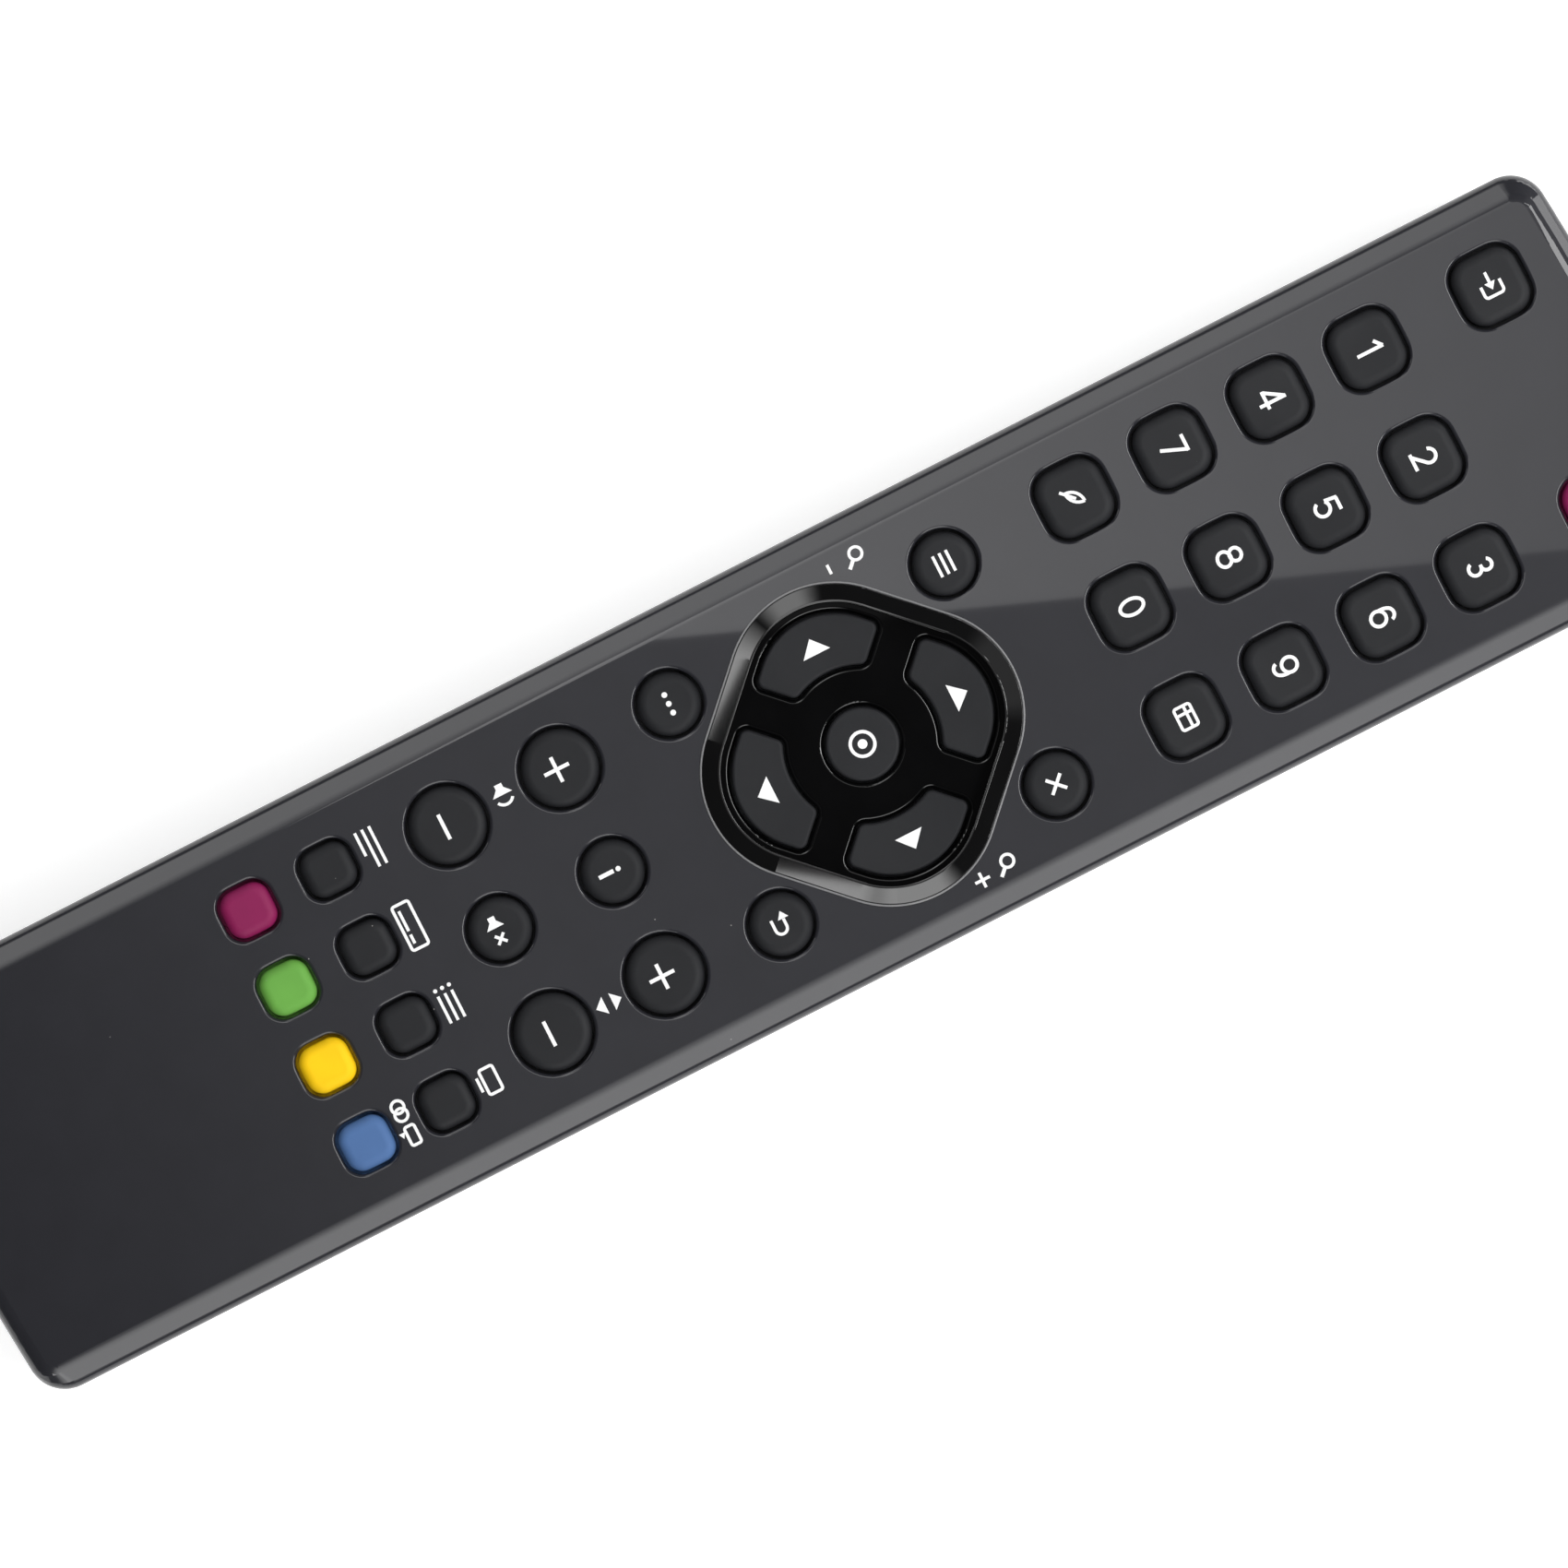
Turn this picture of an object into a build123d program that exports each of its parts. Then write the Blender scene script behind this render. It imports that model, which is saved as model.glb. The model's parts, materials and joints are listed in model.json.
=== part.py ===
from build123d import *
import os
from math import sqrt

# A handheld remote control. Millimetres. The origin is on the resting back, under the middle of
# the casing. +X is across, +Y runs to the end with the infrared window, +Z out of the front face.

# Casing
casing_width = 51.0
casing_length = 223.0
end_bow_radius = 229.0
corner_radius = 4.5
parting_height = 11.5
back_flat_width = 34.0
lower_end_radius = 7.0
wall = 2.0
front_wall = 2.0
side_bevel = 3.0
window_end_bevel = 2.2
cover_end_bevel = 1.0
bevel_drop = 1.7
bevel_corner_radius = 2.0
shoulder_radius = 1.8
face_edge_radius = 2.0
rim_radius = 0.4
seam_chamfer = 0.25
lip_width = 0.9
lip_height = 1.2
fit = 0.15
level_play = 0.01

# Cells, their bay and its cover
cell_diameter = 10.5
cell_length = 44.5
cell_pitch = 11.5
nub_diameter = 3.8
nub_height = 0.8
cell_edge = 0.4
cell_play = 0.45
bay_wall = 1.4
bay_roof = 1.3
bay_end_distance = 13.0
cover_wall = 1.5
cover_side_margin = 3.5
cover_reach = 1.2
bay_foot_gap = 0.4
deck_rail_gap = 0.3
deck_thickness = 1.4
rail_sink = 0.2
rail_thickness = 0.7
rail_depth = 0.9
rail_web = 1.2
rail_skin = 0.5
tab_bay_gap = 0.45
tab_width = 3.6
tab_thickness = 0.8
tab_length = 1.7
grip_count = 6
grip_length = 15.0
grip_width = 1.2
grip_pitch = 2.4
grip_depth = 0.5
grip_edge_distance = 6.0

# Contacts
plate_thickness = 0.4
plate_side = 8.0
contact_gap = 0.1
spring_height = 4.0
spring_base_radius = 3.3
spring_tip_radius = 2.0
spring_half_turns = 7
spring_wire = 0.6
tab_strip_width = 2.0
slot_play = 0.2

# Circuit board, mat and keys, stacked under the front wall
board_thickness = 1.2
board_edge_gap = 1.5
board_corner_radius = 3.0
board_lower_margin = 7.0
board_upper_margin = 4.5
mat_thickness = 1.0
mat_edge_gap = 1.0
collar_height = 0.5
collar_width = 0.7
mat_hole_gap = 0.5
key_travel = 0.8
press_gap = 0.1
collar_gap = 0.25
flange_thickness = 0.8
flange_lip = 0.8
flange_gap = 0.25
key_gap = 0.35
plunger_radius = 2.2
pill_radius = 1.8
pill_thickness = 0.4
pill_bond = 0.05
key_rise = 0.45
key_edge_radius = 1.2

# Places and sizes of the keys on the face
top_row_distance = 11.65
number_side_distance = 11.1
number_first_drop = 16.3
number_pitch = 12.83
number_hole_width = 9.2
number_hole_height = 9.1
number_hole_corner = 3.0
number_hole_swell = 0.22
ring_distance = 90.0
corner_key_x = 14.5
corner_key_y = 18.1
small_round_radius = 4.13
rocker_side_distance = 11.9
rocker_first_drop = 32.9
rocker_pitch = 14.8
large_round_radius = 4.98
square_side_distance = 10.2
square_count = 4
square_first_drop = 62.5
square_pitch = 10.5
square_hole_width = 6.6
square_hole_height = 6.9
square_hole_corner = 2.3
square_hole_swell = 0.15

# Navigation ring
ring_half_side = 17.5
ring_corner_radius = 12.4
ring_slope = 1.9
ring_rise = 1.3
ring_crest = 0.3
ring_crest_radius = 0.13
ring_foot_height = 0.25
ring_foot_radius = 0.2
ring_floor_drop = 0.4
ring_seat = 1.2
arrow_inset = 3.2
arrow_channel = 2.33
arrow_inner_radius = 9.1
arrow_corner_radius = 1.25
arrow_plunger_distance = 11.7
confirm_radius = 4.6
ring_key_gap = 0.25
ring_key_edge_radius = 0.4
ring_opening_radius = 0.5

# Infrared window and LED
window_width = 42.0
window_bottom = 8.5
window_top_gap = 0.9
window_flange = 0.7
window_flange_thickness = 1.0
led_radius = 2.5
led_flange_radius = 2.9
led_flange_thickness = 1.0
led_length = 7.9
led_window_gap = 0.5
led_lead_reach = 3.5
led_lead_spread = 1.27
led_notch_gap = 0.7

# Small parts under the board
lead_radius = 0.25
lead_hole_radius = 0.45
lead_cover = 0.1
chip_length = 12.8
chip_width = 7.5
chip_thickness = 2.3
chip_leg_pitch = 1.27
chip_leg_width = 0.42
chip_leg_thickness = 0.25
chip_legs_per_side = 10
chip_leg_reach = 1.4
resonator_width = 7.4
resonator_depth = 3.2
resonator_height = 5.5
resonator_lead_pitch = 2.5
capacitor_radius = 3.15
capacitor_length = 8.0
capacitor_lead_pitch = 2.5
transistor_radius = 2.3
transistor_flat = 1.4
transistor_height = 4.6
transistor_stand = 1.6
transistor_lead_pitch = 1.27
component_gap = 0.1
component_edge_distance = 9.8

# Posts and screws
post_radius = 1.7
post_wall = 1.0
pin_radius = 0.9
pin_length = 2.0
pin_play = 0.15
screw_post_radius = 3.0
screw_radius = 1.1
screw_length = 7.0
screw_head_radius = 2.2
screw_head_height = 1.7
screw_play = 0.05
screw_hole_radius = 1.4
screw_side_distance = 11.5
screw_slot_width = 0.7
screw_slot_depth = 0.8

# Heights, from the back up
cell_radius = cell_diameter / 2
cell_height = cover_wall + cell_play + cell_radius
bay_ceiling = cell_height + cell_radius + cell_play
board_bottom = bay_ceiling + bay_roof
board_top = board_bottom + board_thickness
mat_top = board_top + mat_thickness
pill_bottom = board_top + key_travel + press_gap
pill_top = pill_bottom + pill_thickness
flange_bottom = mat_top + collar_height + key_travel + collar_gap
flange_top = flange_bottom + flange_thickness
front_underside = flange_top + flange_gap
face_height = front_underside + front_wall
shoulder_height = face_height - bevel_drop
key_top = face_height + key_rise

# Places along the casing, from its two ends
half_width = casing_width / 2
half_length = casing_length / 2
bay_south = -half_length + bay_end_distance
nub_space = plate_thickness + 2 * contact_gap
spring_space = nub_space + spring_height
bay_north = bay_south + cell_length + nub_space + spring_space
bay_half_width = cell_pitch / 2 + cell_radius + cell_play
cover_half_width = half_width - cover_side_margin
tab_x = bay_half_width + bay_wall + tab_bay_gap + tab_width / 2
cover_north = bay_north + bay_wall + cover_reach
pocket_north = cover_north + fit
deck_north = pocket_north + bay_wall
cover_top = parting_height - fit
top_row_y = half_length - top_row_distance
ring_y = top_row_y - ring_distance
board_north = half_length - board_upper_margin - wall
last_row_y = ring_y - square_first_drop - square_pitch
board_south = last_row_y - board_lower_margin
end_wall_inner = -half_length + cover_wall + fit + 2 * bay_wall
screw_x = half_width - screw_side_distance
screw_y = (bay_south - bay_wall + end_wall_inner) / 2
board_half_width = half_width - wall - board_edge_gap
component_x = board_half_width - component_edge_distance
number_column = half_width - number_side_distance
rocker_x = half_width - rocker_side_distance
square_middle = (square_count - 1) / 2
square_column = (half_width - square_side_distance) / square_middle

# The flanks below the parting plane are arcs that leave the sides upright
flank_drop = half_width - back_flat_width / 2
flank_radius = (flank_drop**2 + parting_height**2) / (2 * flank_drop)
flank_centre = half_width - flank_radius


def flank_height(x, inset):
    """How high the flank stands at x, with its surface moved in by the inset."""
    return parting_height - sqrt((flank_radius - inset) ** 2 - (x - flank_centre) ** 2)


rail_height = flank_height(cover_half_width, cover_wall) - rail_sink
rail_bottom = flank_height(cover_half_width, 0) + rail_skin
rail_top = rail_height + rail_thickness
deck_height = rail_top + fit + deck_rail_gap
deck_top = deck_height + deck_thickness


def bowed_outline(side, window_end, cover_end, radius):
    """The casing's outline from the front, drawn in by its own amount at the sides and each end."""
    half = half_width - side
    bow = end_bow_radius
    sagitta = bow - sqrt(bow**2 - half**2)
    top = half_length - window_end
    bottom = -half_length + cover_end
    with BuildSketch() as outline:
        with BuildLine():
            ThreePointArc((-half, top - sagitta), (0, top), (half, top - sagitta))
            Line((half, top - sagitta), (half, bottom + sagitta))
            ThreePointArc((half, bottom + sagitta), (0, bottom), (-half, bottom + sagitta))
            Line((-half, bottom + sagitta), (-half, top - sagitta))
        make_face()
        fillet(outline.vertices(), radius)
    return outline.sketch


def casing_outline(inset=0.0):
    """The same outline, drawn in evenly."""
    return bowed_outline(inset, inset, inset, max(corner_radius - inset, 0.5))


def back_form(inset):
    """The casing below its parting plane: flat back, curved flanks, rounded ends, all moved in."""
    radius = flank_radius - inset
    underside = parting_height - radius
    middle = (flank_centre + radius * sqrt(0.5), parting_height - radius * sqrt(0.5))
    side = half_width - inset
    outline = casing_outline(inset)
    with BuildPart() as form:
        with BuildSketch(Plane.XY.offset(parting_height)):
            add(outline)
        extrude(amount=-2 * parting_height)
        with BuildSketch(Plane.YZ) as side_view:
            with Locations((0, inset)):
                Rectangle(
                    casing_length - 2 * inset,
                    casing_width,
                    align=(Align.CENTER, Align.MIN),
                )
            fillet(side_view.vertices().group_by(Axis.Z)[0], lower_end_radius - inset)
        extrude(amount=casing_width, both=True, mode=Mode.INTERSECT)
        # The flanks' arcs run on below the flat back, so they cross it
        with BuildSketch(Plane.XZ):
            with BuildLine():
                Line((-flank_centre, underside), (flank_centre, underside))
                ThreePointArc((flank_centre, underside), middle, (side, parting_height))
                Line((side, parting_height), (-side, parting_height))
                ThreePointArc(
                    (-side, parting_height), (-middle[0], middle[1]), (-flank_centre, underside)
                )
            make_face()
        extrude(amount=casing_length, both=True, mode=Mode.INTERSECT)
    return form.part


def bulged_square(width, height, corner, bulge):
    """A rounded square whose sides swell by the bulge."""
    x = width / 2 - bulge
    y = height / 2 - bulge
    with BuildSketch() as square:
        with BuildLine():
            ThreePointArc((-x, y), (0, y + bulge), (x, y))
            ThreePointArc((x, y), (x + bulge, 0), (x, -y))
            ThreePointArc((x, -y), (0, -y - bulge), (-x, -y))
            ThreePointArc((-x, -y), (-x - bulge, 0), (-x, y))
        make_face()
        fillet(square.vertices(), corner)
    return square.sketch


def number_outline(grow):
    """The hole of a number key, grown all round."""
    return bulged_square(
        number_hole_width + 2 * grow,
        number_hole_height + 2 * grow,
        number_hole_corner + grow,
        number_hole_swell,
    )


def square_outline(grow):
    """The hole of a small square key, grown all round."""
    return bulged_square(
        square_hole_width + 2 * grow,
        square_hole_height + 2 * grow,
        square_hole_corner + grow,
        square_hole_swell,
    )


def round_outline(radius):
    """The hole of a round key, as a function of how much it is grown."""

    def outline(grow):
        with BuildSketch() as disc:
            Circle(radius + grow)
        return disc.sketch

    return outline


def ring_outline(inset):
    """The navigation ring's rounded diamond, drawn in evenly."""
    side = 2 * (ring_half_side - inset)
    with BuildSketch() as diamond:
        RectangleRounded(side, side, ring_corner_radius - inset, rotation=45)
    return diamond.sketch


def arrow_outline(grow):
    """The upper arrow key inside the ring, grown all round."""
    reach = 2 * ring_half_side
    diamond = ring_outline(arrow_inset - grow)
    with BuildSketch() as arrow:
        add(diamond)
        Circle(arrow_inner_radius - grow, mode=Mode.SUBTRACT)
        for turn in (45, -45):
            Rectangle(2 * reach, 2 * (arrow_channel - grow), rotation=turn, mode=Mode.SUBTRACT)
        Polygon((0, 0), (reach, reach), (-reach, reach), align=None, mode=Mode.INTERSECT)
        across = arrow.vertices().sort_by(Axis.X)
        corners = arrow.vertices().group_by(Axis.Y)[0] + [across[0], across[-1]]
        fillet(corners, arrow_corner_radius + grow)
    return arrow.sketch


def level_edges(piece, height):
    """The edges of the piece being built that lie at one height."""
    return piece.edges().filter_by_position(Axis.Z, height - level_play, height + level_play)


def finish(name, part):
    """Labels a finished piece and writes it."""
    part.label = name
    export_step(part, f"parts/{name}.step")


# Where each key stands on the face
number_rows = [top_row_y - number_first_drop - number_pitch * row for row in range(4)]
square_rows = [ring_y - square_first_drop - square_pitch * row for row in range(2)]
square_columns = [square_column * (column - square_middle) for column in range(square_count)]
rocker_rows = [ring_y - rocker_first_drop - rocker_pitch * row for row in range(2)]

number_places = {
    "key_source": (-number_column, top_row_y),
    "key_power": (number_column, top_row_y),
    "key_eco": (-number_column, number_rows[3]),
    "key_0": (0, number_rows[3]),
    "key_guide": (number_column, number_rows[3]),
}
for digit in range(1, 10):
    column = (digit - 1) % 3 - 1
    number_places[f"key_{digit}"] = (number_column * column, number_rows[(digit - 1) // 3])

small_round_places = {
    "key_menu": (-corner_key_x, ring_y + corner_key_y),
    "key_exit": (corner_key_x, ring_y + corner_key_y),
    "key_option": (-corner_key_x, ring_y - corner_key_y),
    "key_return": (corner_key_x, ring_y - corner_key_y),
    "key_info": (0, rocker_rows[0]),
    "key_mute": (0, rocker_rows[1]),
}
large_round_places = {
    "key_volume_up": (-rocker_x, rocker_rows[0]),
    "key_volume_down": (-rocker_x, rocker_rows[1]),
    "key_channel_up": (rocker_x, rocker_rows[0]),
    "key_channel_down": (rocker_x, rocker_rows[1]),
}
square_places = {}
for names, row in (
    (("key_text", "key_subtitle", "key_list", "key_tv"), square_rows[0]),
    (("key_magenta", "key_green", "key_yellow", "key_blue"), square_rows[1]),
):
    for name, column in zip(names, square_columns):
        square_places[name] = (column, row)

key_groups = [
    (number_places, number_outline),
    (small_round_places, round_outline(small_round_radius)),
    (large_round_places, round_outline(large_round_radius)),
    (square_places, square_outline),
]
arrow_turns = {"key_up": 0, "key_left": 90, "key_down": 180, "key_right": -90}
ring_place = (0, ring_y)


def ring_plane(height, turn=0):
    """A level plane at the ring's centre, turned about the upright."""
    return Plane((0, ring_y, height)).rotated((0, 0, turn))


# Where each plunger meets the board
plunger_places = [place for places, outline in key_groups for place in places.values()]
plunger_places.append(ring_place)
plunger_places += [
    (-arrow_plunger_distance, ring_y),
    (arrow_plunger_distance, ring_y),
    (0, ring_y - arrow_plunger_distance),
    (0, ring_y + arrow_plunger_distance),
]

# Posts between the keys hold the board down: all carry a pin but the two beside the bay
post_x = number_column / 2
pinned_posts = [(0, (top_row_y + number_rows[0]) / 2)]
for side in (-1, 1):
    pinned_posts.append((side * post_x, (number_rows[0] + number_rows[1]) / 2))
    pinned_posts.append((side * post_x, (number_rows[2] + number_rows[3]) / 2))
    pinned_posts.append((side * post_x, (ring_y - corner_key_y + rocker_rows[0]) / 2))
bare_posts = [(side * post_x, (rocker_rows[1] + square_rows[0]) / 2) for side in (-1, 1)]
screw_places = [(-screw_x, screw_y), (screw_x, screw_y)]

# Places under the board of the small parts, and of their leads through it
chip_place = (0, number_rows[3] - number_pitch / 2)
resonator_place = (component_x, number_rows[2])
capacitor_place = (-component_x, number_rows[1])
transistor_place = (component_x, number_rows[0])
led_base_y = half_length - wall - fit - window_flange_thickness - led_window_gap - led_length
led_height = board_bottom - 2 * lead_radius - component_gap
led_lead_y = led_base_y - led_lead_reach
window_top = front_underside - window_top_gap


def row_of_leads(place, pitch, count):
    """Places of a row of leads across X about a part's centre."""
    first = -pitch * (count - 1) / 2
    return [(place[0] + first + pitch * step, place[1]) for step in range(count)]


resonator_leads = row_of_leads(resonator_place, resonator_lead_pitch, 3)
capacitor_leads = row_of_leads(capacitor_place, capacitor_lead_pitch, 2)
transistor_leads = row_of_leads(transistor_place, transistor_lead_pitch, 3)
led_leads = row_of_leads((0, led_lead_y), 2 * led_lead_spread, 2)
lead_places = resonator_leads + capacitor_leads + transistor_leads + led_leads
lead_top = board_top - lead_cover

# Contact strips rise from the bay's window-side wall to the board
strip_y = bay_north - contact_gap - plate_thickness / 2
strip_places = [(-cell_pitch / 2, strip_y), (cell_pitch / 2, strip_y)]
strip_top = board_top - lead_cover

os.makedirs("parts", exist_ok=True)

full_outline = casing_outline()
cavity_outline = casing_outline(wall)
rebate_outline = casing_outline(wall - lip_width - fit)
lip_outline = casing_outline(wall - lip_width)
bevel_outline = bowed_outline(side_bevel, window_end_bevel, cover_end_bevel, bevel_corner_radius)
cover_path_outline = casing_outline(cover_wall + fit)
tab_places = [(-tab_x, pocket_north), (tab_x, pocket_north)]
tab_height = wall + 2 * fit
cover_path_width = 2 * (cover_half_width + fit)
post_height = front_underside - board_top


# Upper casing: the front shell with its bevels, key holes, ring opening and posts
with BuildPart() as upper_casing:
    with BuildSketch(Plane.XY.offset(parting_height)):
        add(full_outline)
    extrude(amount=shoulder_height - parting_height)
    with BuildSketch(Plane.XY.offset(shoulder_height)):
        add(full_outline)
    with BuildSketch(Plane.XY.offset(face_height)):
        add(bevel_outline)
    loft(ruled=True)
    fillet(level_edges(upper_casing, shoulder_height), shoulder_radius)
    fillet(level_edges(upper_casing, face_height), face_edge_radius)
    chamfer(upper_casing.faces().sort_by(Axis.Z)[0].edges(), seam_chamfer)
    with BuildSketch(Plane.XY.offset(parting_height)):
        add(cavity_outline)
    extrude(amount=front_underside - parting_height, mode=Mode.SUBTRACT)
    with BuildSketch(Plane.XY.offset(parting_height)):
        add(rebate_outline)
    extrude(amount=lip_height + fit, mode=Mode.SUBTRACT)
    for places, outline in key_groups:
        hole = outline(0)
        with BuildSketch(Plane.XY.offset(front_underside)):
            with Locations(*places.values()):
                add(hole)
        extrude(amount=front_wall, mode=Mode.SUBTRACT)
    ring_hole = ring_outline(ring_seat)
    with BuildSketch(ring_plane(front_underside)):
        add(ring_hole)
    extrude(amount=front_wall, mode=Mode.SUBTRACT)
    rims = upper_casing.faces().filter_by(Axis.Z).sort_by(Axis.Z)[-1].inner_wires()
    fillet([edge for rim in rims for edge in rim.edges()], rim_radius)
    with BuildSketch(Plane.XY.offset(board_top)):
        with Locations(*pinned_posts, *bare_posts):
            Circle(post_radius)
    extrude(amount=post_height)
    with BuildSketch(Plane.XY.offset(board_top - board_thickness - pin_length)):
        with Locations(*pinned_posts):
            Circle(pin_radius)
    extrude(amount=board_thickness + pin_length)
    with BuildSketch(Plane.XY.offset(deck_top + fit)):
        with Locations(*screw_places):
            Circle(screw_post_radius)
    extrude(amount=front_underside - deck_top - fit)
    with BuildSketch(Plane.XY.offset(deck_top)):
        with Locations(*screw_places):
            Circle(screw_radius + screw_play)
    extrude(amount=screw_length, mode=Mode.SUBTRACT)
    with BuildSketch(Plane.XY.offset(parting_height)):
        with Locations((0, half_length)):
            Rectangle(window_width + 2 * fit, 4 * wall)
    extrude(amount=window_top + fit - parting_height, mode=Mode.SUBTRACT)
finish("upper_casing", upper_casing.part)


# Lower casing: the back shell with the battery bay and its deck
back_shell = back_form(0)
back_void = back_form(wall)

with BuildPart() as board_space:
    add(back_void)
    with BuildSketch(Plane.XY):
        with Locations((0, deck_north)):
            Rectangle(casing_width, casing_length, align=(Align.CENTER, Align.MIN))
    extrude(amount=parting_height, mode=Mode.INTERSECT)

with BuildPart() as lower_casing:
    add(back_shell)
    with BuildSketch(Plane.XY.offset(parting_height)):
        add(lip_outline)
        add(cavity_outline, mode=Mode.SUBTRACT)
    extrude(amount=lip_height)
    add(board_space.part, mode=Mode.SUBTRACT)
    # The room over the deck, short of the inner end wall
    with BuildSketch(Plane.XY.offset(deck_top)):
        add(cavity_outline)
        with Locations((0, end_wall_inner)):
            Rectangle(
                casing_width,
                deck_north - end_wall_inner,
                align=(Align.CENTER, Align.MIN),
                mode=Mode.INTERSECT,
            )
    extrude(amount=parting_height - deck_top, mode=Mode.SUBTRACT)
    # The room under the deck, which the cover closes
    with BuildSketch(Plane.XY):
        with Locations((0, pocket_north)):
            Rectangle(cover_path_width, casing_length, align=(Align.CENTER, Align.MAX))
    extrude(amount=deck_height, mode=Mode.SUBTRACT)
    with BuildSketch(Plane.XY):
        with Locations((0, -half_length)):
            Rectangle(cover_path_width, 4 * wall)
        add(cover_path_outline, mode=Mode.SUBTRACT)
    extrude(amount=cover_top + fit, mode=Mode.SUBTRACT)
    # Grooves for the cover's rails, and slots for its tabs
    with BuildSketch(Plane.XY.offset(rail_height - fit)):
        with Locations((0, pocket_north)):
            Rectangle(
                cover_path_width + 2 * rail_depth,
                casing_length,
                align=(Align.CENTER, Align.MAX),
            )
    extrude(amount=rail_thickness + 2 * fit, mode=Mode.SUBTRACT)
    with BuildSketch(Plane.XY.offset(tab_height - fit)):
        with Locations(*tab_places):
            Rectangle(tab_width + 2 * fit, 2 * bay_wall + 4 * fit)
    extrude(amount=tab_thickness + 2 * fit, mode=Mode.SUBTRACT)
    # The bay stands through the deck and carries the board on its roof
    with BuildSketch(Plane.XY.offset(cover_wall + bay_foot_gap)):
        with Locations((0, (bay_south + bay_north) / 2)):
            Rectangle(2 * (bay_half_width + bay_wall), bay_north - bay_south + 2 * bay_wall)
    extrude(amount=board_bottom - cover_wall - bay_foot_gap)
    with BuildSketch(Plane.XY):
        with Locations((0, (bay_south + bay_north) / 2)):
            Rectangle(2 * bay_half_width, bay_north - bay_south)
    extrude(amount=bay_ceiling, mode=Mode.SUBTRACT)
    with BuildSketch(Plane.XY.offset(bay_ceiling)):
        with Locations(*strip_places):
            Rectangle(tab_strip_width + 2 * slot_play, plate_thickness + 2 * slot_play)
    extrude(amount=bay_roof, mode=Mode.SUBTRACT)
    with BuildSketch(Plane.XY.offset(deck_height)):
        with Locations(*screw_places):
            Circle(screw_hole_radius)
    extrude(amount=deck_thickness, mode=Mode.SUBTRACT)
    # Posts that carry the board, with a socket for each pin
    with BuildSketch(Plane.XY.offset(wall / 2)):
        with Locations(*pinned_posts):
            Circle(pin_radius + pin_play + post_wall)
    extrude(amount=board_bottom - wall / 2)
    with BuildSketch(Plane.XY.offset(board_bottom - pin_length - pin_play)):
        with Locations(*pinned_posts):
            Circle(pin_radius + pin_play)
    extrude(amount=pin_length + pin_play, mode=Mode.SUBTRACT)
    with BuildSketch(Plane.XY.offset(window_bottom - fit)):
        with Locations((0, half_length)):
            Rectangle(window_width + 2 * fit, 4 * wall)
    extrude(amount=parting_height + lip_height - window_bottom + fit, mode=Mode.SUBTRACT)
finish("lower_casing", lower_casing.part)


# Battery cover: the back and the end of the casing below the bay, with side rails and two tabs
cover_void = back_form(cover_wall)
rail_south = -half_length + lower_end_radius

with BuildPart() as battery_cover:
    add(back_shell)
    with BuildSketch(Plane.XY):
        with Locations((0, cover_north)):
            Rectangle(2 * cover_half_width, casing_length, align=(Align.CENTER, Align.MAX))
    extrude(amount=cover_top, mode=Mode.INTERSECT)
    add(cover_void, mode=Mode.SUBTRACT)
    for side in (-1, 1):
        edge = Plane((side * cover_half_width, 0, 0))
        inward = Align.MIN if side < 0 else Align.MAX
        outward = Align.MAX if side < 0 else Align.MIN
        with BuildSketch(edge.offset(rail_bottom)):
            with Locations((0, cover_north)):
                Rectangle(rail_web, cover_north - rail_south, align=(inward, Align.MAX))
        extrude(amount=rail_top - rail_bottom)
        with BuildSketch(edge.offset(rail_height)):
            with Locations((0, cover_north)):
                Rectangle(rail_depth, cover_north - rail_south, align=(outward, Align.MAX))
        extrude(amount=rail_thickness)
    with BuildSketch(Plane.XY.offset(cover_wall / 2)):
        with Locations((-tab_x, cover_north), (tab_x, cover_north)):
            Rectangle(tab_width, 2 * tab_length, align=(Align.CENTER, Align.MAX))
    extrude(amount=tab_height + tab_thickness - cover_wall / 2)
    with BuildSketch(Plane.XY.offset(tab_height)):
        with Locations((-tab_x, cover_north), (tab_x, cover_north)):
            Rectangle(tab_width, 2 * tab_length)
    extrude(amount=tab_thickness)
    with BuildSketch(Plane.XY):
        for step in range(grip_count):
            with Locations((0, cover_north - grip_edge_distance - grip_pitch * step)):
                SlotOverall(grip_length, grip_width)
    extrude(amount=grip_depth, mode=Mode.SUBTRACT)
finish("battery_cover", battery_cover.part)


# Navigation ring: a plate in the face with a raised rim on a foot, a sunk floor and five openings
arrow_opening = arrow_outline(0)
floor_height = face_height - ring_floor_drop
foot_top = face_height + ring_foot_height
crest_height = face_height + ring_rise
rim_foot = ring_outline(0)
rim_top = ring_outline(ring_slope)
plate_outline = ring_outline(ring_seat + fit)
floor_outline = ring_outline(ring_slope + ring_crest)

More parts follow.
